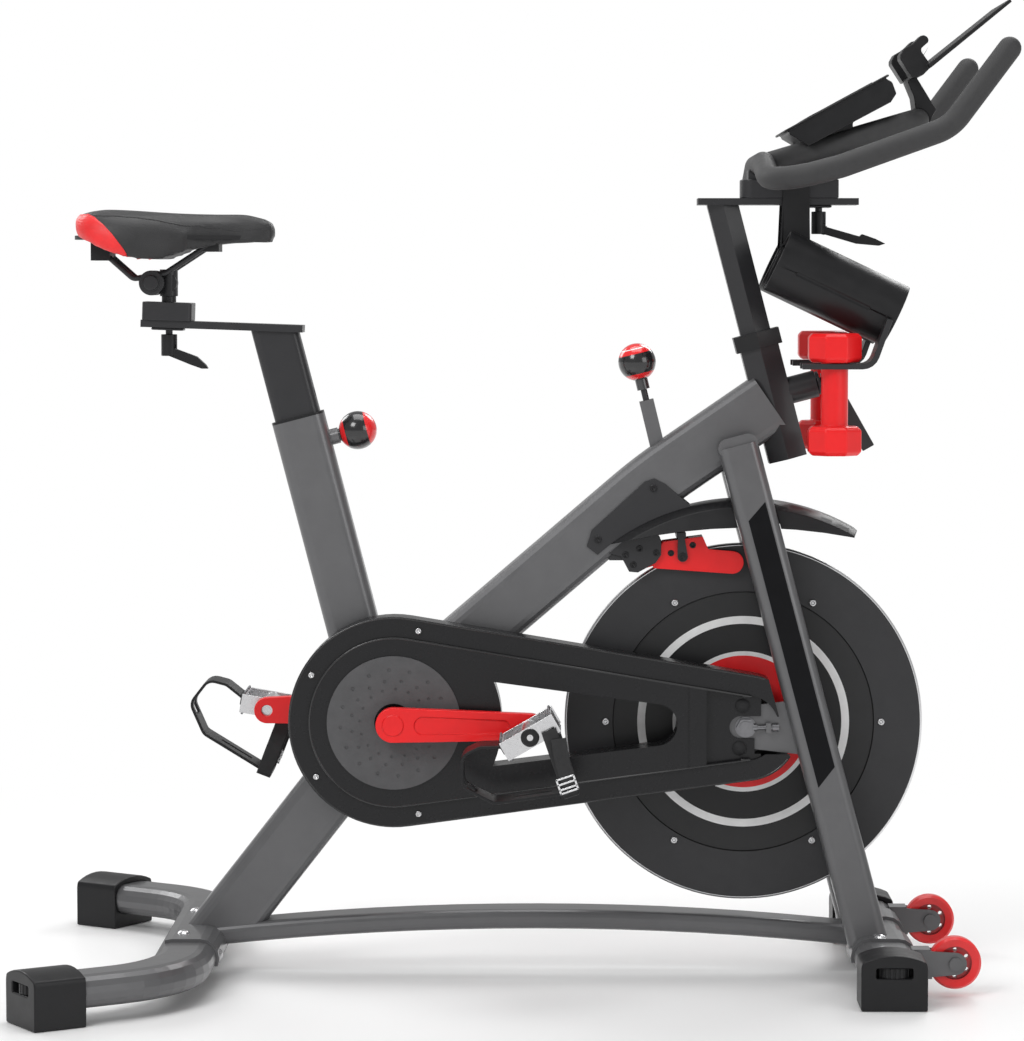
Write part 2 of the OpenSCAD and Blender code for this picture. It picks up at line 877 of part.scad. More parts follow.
// Plastic lining of both tubes that hold a post.
module post_bushes() {
    color(black) {
        leaning(seat_mouth) difference() {
            union() {
                translate([0, 0, -70]) linear_extrude(70) round_rect(61, 45, 11.5);
                linear_extrude(3) round_rect(66, 50, 14);
            }
            translate([0, 0, -80]) linear_extrude(90) round_rect(57 + 2 * fit, 41 + 2 * fit, 9.5 + fit);
            translate([20, 0, knob_down]) rotate([0, 90, 0]) cylinder(h = 20, r = 6);
        }
        leaning(head_foot) difference() {
            union() {
                translate([0, 0, head_length - 45]) linear_extrude(45) six(20.8, 22.6, 13.8);
                translate([0, 0, head_length]) linear_extrude(collar_length) six(29, 30, 19);
            }
            translate([0, 0, 60]) linear_extrude(120) six(19 + fit, 20.6 + fit, 12 + fit);
        }
    }
}

module rail_frame() {
    translate(seat_rail_at) rotate([0, rail_tilt, 0]) children();
}

module slot_shape(a, b, r) {
    translate([a, -r]) square([b - a, 2 * r]);
    translate([a, 0]) circle(r);
    translate([b, 0]) circle(r);
}

module seat_post() {
    color(dark) {
        difference() {
            leaning(seat_mouth) translate([0, 0, -215]) linear_extrude(345) difference() {
                round_rect(57, 41, 9.5);
                round_rect(51, 35, 6.5);
            }
            rail_frame() translate([-150, -60, 0]) cube([300, 120, 60]);
            leaning(seat_mouth) for (i = [-2 : 2]) translate([20, 0, knob_down + 30 * i])
                rotate([0, 90, 0]) cylinder(h = 20, r = 6);
        }
        rail_frame() linear_extrude(9) difference() {
            translate([-101, -25]) square([202, 50]);
            slot_shape(-92, 16, 5);
        }
    }
}

module seat_slider() {
    color(dark) {
        rail_frame() translate([-68.5, 0, 9.1]) linear_extrude(22.6) round_rect(62, 58, 6);
        translate([seat_pin_x, 0, 806]) cylinder(h = 77, r = 9 - 4.6);
        translate([seat_pin_x, 0, 842]) cylinder(h = 41, r = 9);
        translate([seat_pin_x, 0, 794]) cylinder(h = 13, r = 4.4);
        rail_frame() translate([-68.5, 0, -3.2]) linear_extrude(3) round_rect(40, 36, 5);
    }
}

module seat_lever() {
    color(black) {
        translate([seat_pin_x, 0, 777]) difference() {
            cylinder(h = 27, r = 10);
            translate([0, 0, 16]) cylinder(h = 12, r = 4.4 + fit);
        }
        slab(-7, 7) polygon([[-434, 793], [-431, 786], [-404, 776], [-393, 766], [-390, 761], [-398, 761],
            [-412, 766], [-440, 777.5]]);
    }
}

module seat_clamp() {
    color(black) difference() {
        union() {
            translate([seat_pin_x, 0, 851.6]) cylinder(h = 33.4, r = 11.3);
            slab(-9.9, 9.9) taper(clamp_at, 14.5, [seat_pin_x, 868], 11);
        }
        translate([seat_pin_x, 0, 840]) cylinder(h = 43, r = 9);
        bar(-20, 20, clamp_at, 5 + fit);
    }
}

module rail_pair() {
    both() swept(rounded([[-522, -22, 909.7], [-481, -22, 873.2], [-441, -22, 880.3], [-384, -22, 917.5]],
        9, 4), [0, 1, 0], ring_of(3.5, 16));
}

module rail_clamp() {
    color(black) {
        difference() {
            both() bar(-30, -11.7, clamp_at, 15.5);
            rail_pair();
            bar(-40, 40, clamp_at, 5);
        }
        bar(-33, 33, clamp_at, 5);
        both() bar(-35, -30, clamp_at, 9);
    }
}

module saddle_rails() {
    color(dark) rail_pair();
}

module base_outline(grow) {
    taper([-486, 0], 70 + grow, [-328, 0], 17 + grow);
}

module saddle_base() {
    color(black) difference() {
        union() {
            translate([0, 0, 922]) linear_extrude(5) base_outline(0);
            translate([-533, -31, 896]) cube([24, 62, 27]);
            translate([-396, -25, 907]) cube([22, 50, 16]);
        }
        rail_pair();
    }
}

// Thin cross-section of the pad: half width w between heights low and high.
module pad_slice(x, w, low, high) {
    translate([x, 0, 0]) rotate([90, 0, 90]) linear_extrude(1)
        translate([0, (low + high) / 2]) round_rect(2 * w, high - low, min(14, (high - low) / 2 - 1));
}

module saddle_pad() {
    stations = [[-557, 52, 925, 950], [-536, 82, 915, 958], [-484, 90, 897, 958], [-442, 74, 892, 954],
        [-402, 42, 906, 952], [-350, 28, 917, 953], [-300, 21, 917, 949]];
    color(black) difference() {
        for (i = [0 : 5]) hull() {
            pad_slice(stations[i][0], stations[i][1], stations[i][2], stations[i][3]);
            pad_slice(stations[i + 1][0], stations[i + 1][1], stations[i + 1][2], stations[i + 1][3]);
        }
        translate([0, 0, 880]) linear_extrude(42) base_outline(-5);
        translate([0, 0, 922]) linear_extrude(5) base_outline(0);
    }
}

module seat_knob() {
    color(black) leaning(seat_mouth) translate([0, 0, knob_down]) rotate([0, 90, 0]) {
        translate([0, 0, 68.2]) sphere(24);
        translate([0, 0, 29]) cylinder(h = 30, r = 5);
        translate([0, 0, 44.5]) cylinder(h = 8, r = 8);
    }
}

module bar_post() {
    color(dark) {
        difference() {
            leaning(head_foot) translate([0, 0, 62]) linear_extrude(280) difference() {
                six(19, 20.6, 12);
                six(16, 17.4, 10);
            }
            translate([150, -50, 965]) cube([250, 100, 60]);
            leaning(head_foot) for (i = [0 : 6]) translate([12, 0, pin_up + 30 * i])
                rotate([0, 90, 0]) cylinder(h = 12, r = 6.5);
        }
        translate([0, 0, 965]) linear_extrude(8.3) difference() {
            translate([221.8, -25]) square([199.3, 50]);
            slot_shape(321, 403, 5);
        }
    }
}

module bar_slider() {
    color(dark) {
        translate([0, 0, 973.4]) linear_extrude(23) {
            translate([289, -27]) square([107, 54]);
            translate([289, 13]) circle(14);
            translate([289, -13]) circle(14);
            translate([275, -13]) square([14, 26]);
        }
        difference() {
            translate([284, -22, 996]) cube([30, 44, 12]);
            bar(-40, 40, [299, 1015], bar_radius);
        }
        translate([bar_pin_x, 0, 945]) cylinder(h = 29, r = 4.4);
        translate([bar_pin_x - 15, -18, 961.7]) cube([30, 36, 3.2]);
    }
}

module bar_lever() {
    color(black) {
        translate([bar_pin_x, 0, 929]) difference() {
            cylinder(h = 28, r = 9);
            translate([0, 0, 15]) cylinder(h = 14, r = 4.4 + fit);
        }
        slab(-7, 7) polygon([[378, 944], [382, 938], [424, 926], [427, 929], [444, 923], [456, 917],
            [448, 914.5], [420, 917], [376, 930]]);
    }
}

module handlebar() {
    arm = [[bar_tip[0], -bar_half, bar_tip[1]], [513.1, -bar_half, 1053.3], [385, -bar_half, 1007.5],
        [300, -bar_half, 985], [299, -84, 1015]];
    whole = concat(arm, [for (p = backwards(arm)) [p[0], -p[1], p[2]]]);
    line = rounded(whole, 58, 5);
    d = unit(arm[0] - arm[1]);
    dome = [80, 60, 40, 20];
    right_end = [for (a = dome) line[0] + d * bar_radius * sin(a)];
    left_end = [for (p = backwards(right_end)) [p[0], -p[1], p[2]]];
    taper_in = [for (a = dome) cos(a)];
    color(dark) {
        swept(concat(right_end, line, left_end), [-0.6, 0, 0.8], ring_of(bar_radius, 24),
            size = concat(taper_in, [for (p = line) 1], backwards(taper_in)));
        inner_loop();
    }
}

module inner_loop() {
    swept(rounded([[298, -58, 1012.5], [493, -58, 1069.6], [493, 58, 1069.6], [298, 58, 1012.5]], 30, 5),
        [-0.28, 0, 0.96], ring_of(bar_radius, 24));
}

module console() {
    color(black) difference() {
        union() {
            translate(console_at) rotate([0, -28.5, 0]) {
                slab(-85, 85) polygon([[4, 0], [139, 0], [144, -8], [142, -23], [131, -29], [18, -28], [4, -5]]);
                translate([71.5, 0, -0.1]) linear_extrude(3) round_rect(147, 176, 10);
            }
            for (y = [-66, 46]) translate([384, y, 1042]) cube([26, 20, 26]);
        }
        translate(console_at) rotate([0, -28.5, 0]) translate([76, 0, 2]) linear_extrude(4)
            round_rect(96, 140, 6);
        inner_loop();
    }
}

module tablet_holder() {
    color(black) difference() {
        union() {
            slab(-95, 95) polygon([[502, 1130], [600.5, 1210.5], [598, 1214], [499, 1135]]);
            for (y = [-80, 40]) slab(y, y + 40) polygon([[481, 1119], [466, 1142], [466, 1147], [470, 1154],
                [482, 1161], [491, 1170], [495, 1171], [499, 1169], [501, 1165], [500, 1162], [492, 1155],
                [492, 1151], [502, 1137], [503, 1132], [494, 1122]]);
            slab(-80, 80) polygon([[481, 1119], [490, 1133], [502, 1137], [503, 1131], [494, 1122]]);
            slab(-30, 30) polygon([[480, 1117], [484, 1124], [490, 1124], [516, 1082], [505, 1064],
                [491, 1078], [488, 1098]]);
        }
        inner_loop();
    }
}

module cup_frame() {
    translate(cup_rear) rotate([0, 90 + cup_slope, 0]) children();
}

module bottle_holder() {
    color(black) difference() {
        union() {
            both() {
                cup_frame() translate([0, -cup_y, 0]) cylinder(h = cup_length, r = cup_radius);
                slab(-30, -27) polygon([[327, 992], [360, 992], [360, 870], [338, 862], [322, 876]]);
            }
            cup_frame() translate([-8, -24, 45]) cube([8, 48, 95]);
        }
        both() {
            cup_frame() translate([0, -cup_y, -1]) cylinder(h = cup_length - 3, r = cup_radius - 3.5);
            cup_frame() rod([6, -cup_y - cup_radius - 0.8, 26], [6, -cup_y - cup_radius - 0.8, 126], 2.6);
        }
    }
}

// Bent plate under a cup that holds a dumbbell by its handle.
module fork_arm() {
    difference() {
        slab(-bell_y - 25, -bell_y + 25) band(rounded([[452.5, 824], [432, 766.5], [346, 766.5]], 18, 4), 7);
        translate([bell_x, -bell_y, 740]) cylinder(h = 50, r = 18.5);
        translate([330, -bell_y - 18.5, 740]) cube([bell_x - 330, 37, 50]);
    }
}

module weight_forks() {
    color(black) difference() {
        both() fork_arm();
        both() cup_frame() translate([0, -cup_y, -1]) cylinder(h = cup_length + 1, r = cup_radius);
    }
}

module dumbbell() {
    translate([bell_x, -bell_y, 657]) {
        for (z = [0, 114]) translate([0, 0, z]) rotate([0, 0, 22.5]) {
            cylinder(h = 5, r1 = 30, r2 = 35, $fn = 8);
            translate([0, 0, 5]) cylinder(h = 26, r = 35, $fn = 8);
            translate([0, 0, 31]) cylinder(h = 5, r1 = 35, r2 = 30, $fn = 8);
        }
        translate([0, 0, 30]) cylinder(h = 90, r = 16.5);
    }
}

module dumbbell_right() {
    color(red) dumbbell();
}

module dumbbell_left() {
    color(red) mirror([0, 1, 0]) dumbbell();
}

// Pull pin and long lever in front of the head tube.
module height_lever() {
    color(dark) leaning(head_foot) translate([0, 0, pin_up]) rotate([0, 90, 0]) {
        translate([0, 0, 20]) cylinder(h = 52, r = 6);
        translate([0, 0, 59]) cylinder(h = 4, r = 15);
        translate([0, 0, 66]) cylinder(h = 16, r = 11);
        translate([-10, -5, 70]) cube([20, 10, 12]);
        translate([0, -5, 76]) rotate([0, 75, 0]) translate([-8, 0, -6]) cube([16, 10, 104]);
    }
}

main_beam();
seat_tube();
head_tube();
fork_leg_right();
fork_leg_left();
lower_rail();
rear_stabiliser();
front_stabiliser();
foot_caps();
frame_bolts();
wheel_brackets();
spindle_bearings();
guard_outer();
guard_inner();
guard_disc();
drive_belt();
flywheel_axle();
fender();
fender_bracket();
post_bushes();
flywheel();
flywheel_pulley();
crank_spindle();
drive_pulley();
crank_right();
crank_left();
pedal_spindles();
pedal_right();
pedal_left();
toe_cage_right();
toe_cage_left();
seat_post();
seat_slider();
seat_clamp();
rail_clamp();
saddle_rails();
saddle_base();
saddle_pad();
seat_lever();
seat_knob();
bar_post();
bar_slider();
handlebar();
console();
tablet_holder();
bottle_holder();
weight_forks();
bar_lever();
height_lever();
dumbbell_right();
dumbbell_left();
magnet_arm();
brake_rod();
resistance_knob();
wheel_right();
wheel_left();
leveller_rear_right();
leveller_rear_left();
leveller_front_right();
leveller_front_left();
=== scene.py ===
import math
from itertools import product

import bmesh
import bpy
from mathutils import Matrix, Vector
from mathutils.bvhtree import BVHTree


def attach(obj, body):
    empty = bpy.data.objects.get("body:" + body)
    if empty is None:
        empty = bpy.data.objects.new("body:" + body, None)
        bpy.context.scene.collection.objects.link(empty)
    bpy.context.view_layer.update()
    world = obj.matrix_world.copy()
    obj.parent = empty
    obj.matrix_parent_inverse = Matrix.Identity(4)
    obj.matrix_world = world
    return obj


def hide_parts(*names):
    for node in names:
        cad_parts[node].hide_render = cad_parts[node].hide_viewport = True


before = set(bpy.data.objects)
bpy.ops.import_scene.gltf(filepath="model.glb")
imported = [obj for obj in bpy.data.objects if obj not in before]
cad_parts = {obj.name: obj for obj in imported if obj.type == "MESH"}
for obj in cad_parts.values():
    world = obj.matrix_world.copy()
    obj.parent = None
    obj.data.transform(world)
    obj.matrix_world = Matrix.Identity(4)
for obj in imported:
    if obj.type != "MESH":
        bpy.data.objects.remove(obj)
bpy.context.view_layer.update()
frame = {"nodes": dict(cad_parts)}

nodes = frame["nodes"]

# Camera: a long lens that looks at the bike's right side from a little above.
CAMERA_AT = (0.038, -4.760, 0.878)
CAMERA_DOWN, CAMERA_TURN = math.radians(3.696), math.radians(0.573)
camera_data = bpy.data.cameras.new("camera")
camera_data.sensor_fit = "VERTICAL"
camera_data.sensor_height = 36.0
camera_data.lens = 131.41
camera_data.clip_end = 100.0
camera = bpy.data.objects.new("camera", camera_data)
camera.location = CAMERA_AT
camera.rotation_euler = (math.pi / 2 - CAMERA_DOWN, 0, CAMERA_TURN)
bpy.context.scene.collection.objects.link(camera)
bpy.context.scene.camera = camera

# Lengths are millimetres in the bike's own frame, unless a name or comment says metres.
MM = 0.001
UP = Vector((0, 0, 1))
SIDES = (("right", -1), ("left", 1))
CRANK_X, CRANK_Z = -155.3, 324.5
AXLE_X, AXLE_Z = 281, 318


# ---------------------------------------------------------------- materials

def shader(name, colour, rough, metal=0.0, coat=0.0, coat_rough=0.1, specular=0.5):
    """A new material with its constants on the shader's own sockets."""
    m = bpy.data.materials.new(name)
    m.use_nodes = True
    bsdf = m.node_tree.nodes["Principled BSDF"]
    bsdf.inputs["Base Color"].default_value = (*colour, 1)
    bsdf.inputs["Roughness"].default_value = rough
    bsdf.inputs["Metallic"].default_value = metal
    bsdf.inputs["Coat Weight"].default_value = coat
    bsdf.inputs["Coat Roughness"].default_value = coat_rough
    bsdf.inputs["Specular IOR Level"].default_value = specular
    return m, m.node_tree, bsdf


def add(tree, kind, **values):
    """A new node; values set its properties, or its inputs where the name starts with i_."""
    n = tree.nodes.new(kind)
    for key, value in values.items():
        if key.startswith("i_"):
            n.inputs[key[2:].replace("_", " ")].default_value = value
        else:
            setattr(n, key, value)
    return n


def join(tree, a, out, b, into):
    """Links an output of node a to an input of node b."""
    tree.links.new(a.outputs[out], b.inputs[into])


def place(tree):
    """Object coordinates: the place on the piece, in metres, which moves with it."""
    return add(tree, "ShaderNodeTexCoord")


# Most of a noise texture's values lie between these two.
NOISE_LOW, NOISE_HIGH = 0.3, 0.7


def vary(tree, bsdf, colour, amount, size, spread=0.0, rough=None):
    """Mottles the colour, and the roughness if spread is given, with a noise of the given size."""
    noise = add(tree, "ShaderNodeTexNoise", i_Scale=1 / size, i_Detail=4.0, i_Roughness=0.6)
    join(tree, place(tree), "Object", noise, "Vector")
    ramp = add(tree, "ShaderNodeValToRGB")
    dark, light = ramp.color_ramp.elements
    dark.position, light.position = NOISE_LOW, NOISE_HIGH
    dark.color = (*[c * (1 - amount) for c in colour], 1)
    light.color = (*[min(1, c * (1 + amount)) for c in colour], 1)
    join(tree, noise, "Fac", ramp, "Fac")
    join(tree, ramp, "Color", bsdf, "Base Color")
    if spread:
        level = add(tree, "ShaderNodeMapRange")
        level.inputs["From Min"].default_value = NOISE_LOW
        level.inputs["From Max"].default_value = NOISE_HIGH
        level.inputs["To Min"].default_value = max(0.02, rough - spread)
        level.inputs["To Max"].default_value = min(1, rough + spread)
        join(tree, noise, "Fac", level, "Value")
        join(tree, level, "Result", bsdf, "Roughness")


def bumps(tree, bsdf, source, out, height, strength=1.0):
    """Raises the surface by an output of the source node, at most height metres."""
    bump = add(tree, "ShaderNodeBump", i_Strength=strength, i_Distance=height)
    join(tree, source, out, bump, "Height")
    join(tree, bump, "Normal", bsdf, "Normal")


def grain(tree, bsdf, size, height, strength=1.0, detail=3.0, stretch=None):
    """A fine raised grain of the given size, in metres, drawn out along an axis by stretch."""
    source, out = place(tree), "Object"
    noise = add(tree, "ShaderNodeTexNoise", i_Scale=1 / size, i_Detail=detail)
    if stretch:
        mapping = add(tree, "ShaderNodeMapping")
        mapping.inputs["Scale"].default_value = stretch
        join(tree, source, out, mapping, "Vector")
        source, out = mapping, "Vector"
    join(tree, source, out, noise, "Vector")
    bumps(tree, bsdf, noise, "Fac", height, strength)


def paint(name, colour, rough, coat=0.0, metal=0.0, flake=0.05, specular=0.5):
    """Sprayed paint: a faint orange peel and slow changes of tone."""
    m, tree, bsdf = shader(name, colour, rough, metal=metal, coat=coat, specular=specular)
    vary(tree, bsdf, colour, flake, 0.03, 0.03, rough)
    grain(tree, bsdf, 0.0016, 0.00005, 0.35)
    return m


def moulded(name, colour, rough, texture=0.0009, height=0.00007, amount=0.1, specular=0.28):
    """Moulded plastic with a fine sparked texture."""
    m, tree, bsdf = shader(name, colour, rough, specular=specular)
    vary(tree, bsdf, colour, amount, 0.02, 0.05, rough)
    grain(tree, bsdf, texture, height, 0.6, 2.0)
    return m


def brushed(name, colour, rough, stretch=(30, 1, 30)):
    """Bare metal with fine lines drawn along one axis."""
    m, tree, bsdf = shader(name, colour, rough, metal=1.0)
    vary(tree, bsdf, colour, 0.08, 0.004, 0.06, rough)
    grain(tree, bsdf, 0.02, 0.00004, 0.5, 4.0, stretch)
    return m


frame_paint = paint("frame_paint", (0.118, 0.118, 0.122), 0.36, coat=0.25, metal=0.35)
dark_paint = paint("dark_paint", (0.026, 0.026, 0.028), 0.34, coat=0.08, specular=0.3)
red_paint = paint("red_paint", (0.80, 0.012, 0.014), 0.32, coat=0.1, flake=0.04, specular=0.3)
black_plastic = moulded("black_plastic", (0.012, 0.012, 0.013), 0.40)
smooth_plastic = moulded("smooth_plastic", (0.010, 0.010, 0.011), 0.26, 0.004, 0.00004, specular=0.3)
disc_plastic = moulded("disc_plastic", (0.085, 0.085, 0.088), 0.5, 0.0008, 0.0001)
rubber = moulded("rubber", (0.018, 0.018, 0.019), 0.72, 0.0008, 0.0002)
steel = brushed("steel", (0.62, 0.62, 0.63), 0.28)
zinc = brushed("zinc", (0.22, 0.22, 0.23), 0.34)
pedal_metal = brushed("pedal_metal", (0.66, 0.66, 0.67), 0.3, (3, 20, 3))

# The material of each CAD node; the rest are black plastic.
LOOKS = dict.fromkeys(nodes, black_plastic)
for look, names in (
        (frame_paint, "main_beam seat_tube fork_leg_right fork_leg_left lower_rail rear_stabiliser"
                      " front_stabiliser wheel_brackets"),
        (dark_paint, "head_tube seat_post seat_slider seat_clamp rail_clamp saddle_rails bar_post"
                     " bar_slider height_lever weight_forks brake_rod fender_bracket flywheel_pulley"),
        (red_paint, "crank_right crank_left magnet_arm dumbbell_right dumbbell_left"),
        (smooth_plastic, "guard_outer guard_inner drive_pulley"),
        (disc_plastic, "guard_disc"),
        (rubber, "drive_belt handlebar saddle_pad"),
        (zinc, "flywheel_axle"),
        (steel, "spindle_bearings crank_spindle pedal_spindles frame_bolts"),
        (pedal_metal, "pedal_right pedal_left")):
    LOOKS.update(dict.fromkeys(names.split(), look))
for name, node in nodes.items():
    node.data.materials.clear()
    node.data.materials.append(LOOKS[name])


# ---------------------------------------------------------------- pieces

def piece(name, points, faces, material, body, smooth=True, replaces=(), slot=None):
    """A mesh piece from points in millimetres that rides on a CAD body."""
    mesh = bpy.data.meshes.new(name)
    mesh.from_pydata([Vector(p) * MM for p in points], [], faces)
    mesh.validate()
    shape = bmesh.new()
    shape.from_mesh(mesh)
    bmesh.ops.recalc_face_normals(shape, faces=shape.faces)
    shape.to_mesh(mesh)
    shape.free()
    mesh.materials.append(material)
    obj = bpy.data.objects.new(name, mesh)
    bpy.context.scene.collection.objects.link(obj)
    if smooth:
        mesh.shade_smooth()
    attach(obj, body)
    if replaces:
        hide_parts(*replaces)
    return obj


def bevelled(obj, width, segments=2, angle=35):
    """Rounds the edges of a piece by width, in millimetres."""
    mod = obj.modifiers.new("bevel", "BEVEL")
    mod.width = width * MM
    mod.segments = segments
    mod.limit_method = "ANGLE"
    mod.angle_limit = math.radians(angle)
    mod.harden_normals = True
    return obj


def rounded(path, bend, steps=10):
    """The corner points as a line with each inner corner rounded by bend."""
    p = [Vector(q) for q in path]
    out = [p[0]]
    for a, b, c in zip(p, p[1:], p[2:]):
        u, v = (b - a).normalized(), (c - b).normalized()
        turn = math.acos(max(-1, min(1, u.dot(v))))
        side = (v - u * u.dot(v)).normalized()
        start = b - u * bend * math.tan(turn / 2)
        for k in range(steps + 1):
            t = turn * k / steps
            out.append(start + side * bend * (1 - math.cos(t)) + u * bend * math.sin(t))
    return out + [p[-1]]


def ring(r, n=36):
    """Points of a circle about the origin."""
    return [(r * math.cos(2 * math.pi * i / n), r * math.sin(2 * math.pi * i / n)) for i in range(n)]


def tube_faces(n, m):
    """Faces of a closed form with n rows of m points, each row a ring."""
    faces = [(i * m + j, i * m + (j + 1) % m, (i + 1) * m + (j + 1) % m, (i + 1) * m + j)
             for i in range(n - 1) for j in range(m)]
    return faces + [tuple(range(m)), tuple(range((n - 1) * m, n * m))]


def sweep(name, line, across, section, material, body, size=None, **more):
    """A closed bar with the section carried along the line, its first axis square to across."""
    n = len(line)
    across = Vector(across)
    points = []
    for i, at in enumerate(line):
        t = (line[min(i + 1, n - 1)] - line[max(i - 1, 0)]).normalized()
        e = across.cross(t).normalized()
        f = t.cross(e)
        s = size[i] if size else 1
        points += [at + s * (e * q[0] + f * q[1]) for q in section]
    return piece(name, points, tube_faces(n, len(section)), material, body, **more)


def plate(name, corners, depth, material, body, **more):
    """A flat plate: corners are 3-D points of one face, depth the vector to the other."""
    n = len(corners)
    back = [Vector(p) + Vector(depth) for p in corners]
    faces = [tuple(range(n)), tuple(range(2 * n - 1, n - 1, -1))]
    faces += [(i, (i + 1) % n, n + (i + 1) % n, n + i) for i in range(n)]
    return piece(name, list(corners) + back, faces, material, body, smooth=False, **more)


# ---------------------------------------------------------------- handlebar

def foam(name, colour, rough):
    """Foam grip: fine closed cells and slow mottling."""
    m, tree, bsdf = shader(name, colour, rough)
    vary(tree, bsdf, colour, 0.18, 0.012, 0.06, rough - 0.02)
    cells = add(tree, "ShaderNodeTexVoronoi", i_Scale=1100.0)
    join(tree, place(tree), "Object", cells, "Vector")
    bumps(tree, bsdf, cells, "Distance", 0.00012, 0.5)
    return m


grip = foam("foam_grip", (0.030, 0.030, 0.031), 0.68)
BAR_R, BAR_HALF = 14.0, 226.0
OUTER_BEND, LOOP_BEND = 58, 30


def handlebar():
    """The long outer bar with domed ends, and the loop inside it."""
    arm = [(582.2, -BAR_HALF, 1146), (513.1, -BAR_HALF, 1053.3), (385, -BAR_HALF, 1007.5),
           (300, -BAR_HALF, 985), (299, -84, 1015)]
    line = rounded(arm + [(x, -y, z) for x, y, z in reversed(arm)], OUTER_BEND)
    away = (line[0] - line[1]).normalized()
    dome = [math.radians(a) for a in (90, 75, 60, 45, 30, 15)]
    start = [line[0] + away * BAR_R * math.sin(a) for a in dome]
    end = [Vector((p.x, -p.y, p.z)) for p in reversed(start)]
    thin = [max(0.02, math.cos(a)) for a in dome]
    sweep("bar_outer", start + line + end, (-0.6, 0, 0.8), ring(BAR_R), grip, "bar_head",
          size=thin + [1] * len(line) + thin[::-1], replaces=("handlebar",), slot="grip")
    half = [(298, -58, 1012.5), (493, -58, 1069.6)]
    loop = rounded(half + [(x, -y, z) for x, y, z in reversed(half)], LOOP_BEND)
    sweep("bar_loop", loop, (-0.28, 0, 0.96), ring(BAR_R), grip, "bar_head", slot="grip")


handlebar()


# ---------------------------------------------------------------- saddle

def vinyl(name, colour, rough):
    """Coated saddle vinyl: leather grain of two sizes and a little wear on its tone."""
    m, tree, bsdf = shader(name, colour, rough, specular=0.45)
    vary(tree, bsdf, colour, 0.14, 0.03, 0.06, rough)
    cells = add(tree, "ShaderNodeTexVoronoi", i_Scale=520.0, feature="DISTANCE_TO_EDGE")
    join(tree, place(tree), "Object", cells, "Vector")
    clip = add(tree, "ShaderNodeMapRange")
    clip.inputs["From Max"].default_value = 0.12
    join(tree, cells, "Distance", clip, "Value")
    bumps(tree, bsdf, clip, "Result", 0.00016, 0.5)
    return m


saddle_black = vinyl("saddle_vinyl", (0.020, 0.020, 0.021), 0.46)
saddle_red = vinyl("saddle_red", (0.74, 0.020, 0.022), 0.40)
thread = moulded("thread", (0.05, 0.05, 0.052), 0.7, 0.0006)

# Saddle stations from rear to nose: x, half width, skirt height, crown height.
STATIONS = [
    (-555, 40, 926, 950), (-550, 60, 922, 955.5), (-536, 78, 915, 958.5), (-512, 87, 905, 958.5),
    (-484, 88, 896, 957.5), (-462, 83, 892.5, 956), (-440, 72, 893.5, 954.5), (-418, 56, 900, 953.5),
    (-398, 43, 908.5, 953), (-372, 34, 915.5, 952.5), (-344, 29, 917.5, 953), (-320, 26, 917.5, 952.5),
    (-306, 23, 917, 949), (-301, 19, 918, 943)]
# One side of the section: share of the half width, and of the height from skirt to crown.
SECTION = [
    (0.0, 0.955), (0.10, 0.965), (0.22, 0.995), (0.40, 1.0), (0.58, 0.985), (0.74, 0.93), (0.86, 0.84),
    (0.94, 0.70), (0.985, 0.52), (1.0, 0.34), (0.995, 0.16), (0.975, 0.0), (0.91, -0.01), (0.86, 0.10)]
# Height of the underside's middle line, and where the rear end's and the nose's stations begin.
UNDERSIDE, REAR_END, NOSE_END = 924, -530, -330


def lerp(stations, x):
    """The stations' values at x."""
    for a, b in zip(stations, stations[1:]):
        if x <= b[0]:
            t = max(0.0, (x - a[0]) / (b[0] - a[0]))
            return [p + (q - p) * t for p, q in zip(a, b)]
    return list(stations[-1])


def saddle_mesh(shrink):
    """Closed form of the pad, its rows from rear to nose, smaller by shrink on every side."""
    rows = []
    for x, w, low, high in STATIONS:
        x += shrink * ((x < REAR_END) - (x > NOSE_END))
        bottom, height = low + shrink * 0.3, high - low - shrink * 1.3
        half = [(s * (w - shrink), bottom + height * h) for s, h in SECTION]
        rows.append([(x, y, z) for y, z in half] + [(x, 0, UNDERSIDE)]
                    + [(x, -y, z) for y, z in reversed(half[1:])])
    return [p for row in rows for p in row], tube_faces(len(rows), len(rows[0]))


def apply_all(obj):
    """Bakes the modifiers of a piece into its mesh."""
    graph = bpy.context.evaluated_depsgraph_get()
    done = bpy.data.meshes.new_from_object(obj.evaluated_get(graph))
    obj.modifiers.clear()
    old, obj.data = obj.data, done
    bpy.data.meshes.remove(old)


def subdivided(obj, levels):
    """Adds a subdivision modifier."""
    sub = obj.modifiers.new("subdivision", "SUBSURF")
    sub.levels = sub.render_levels = levels


# How much smaller the cover starts; then, in metres, its remeshing step and how far it may swell.
SHRINK, VOXEL, SWELL, CLOTH_FRAMES = 2.5, 0.004, 0.0035, 20


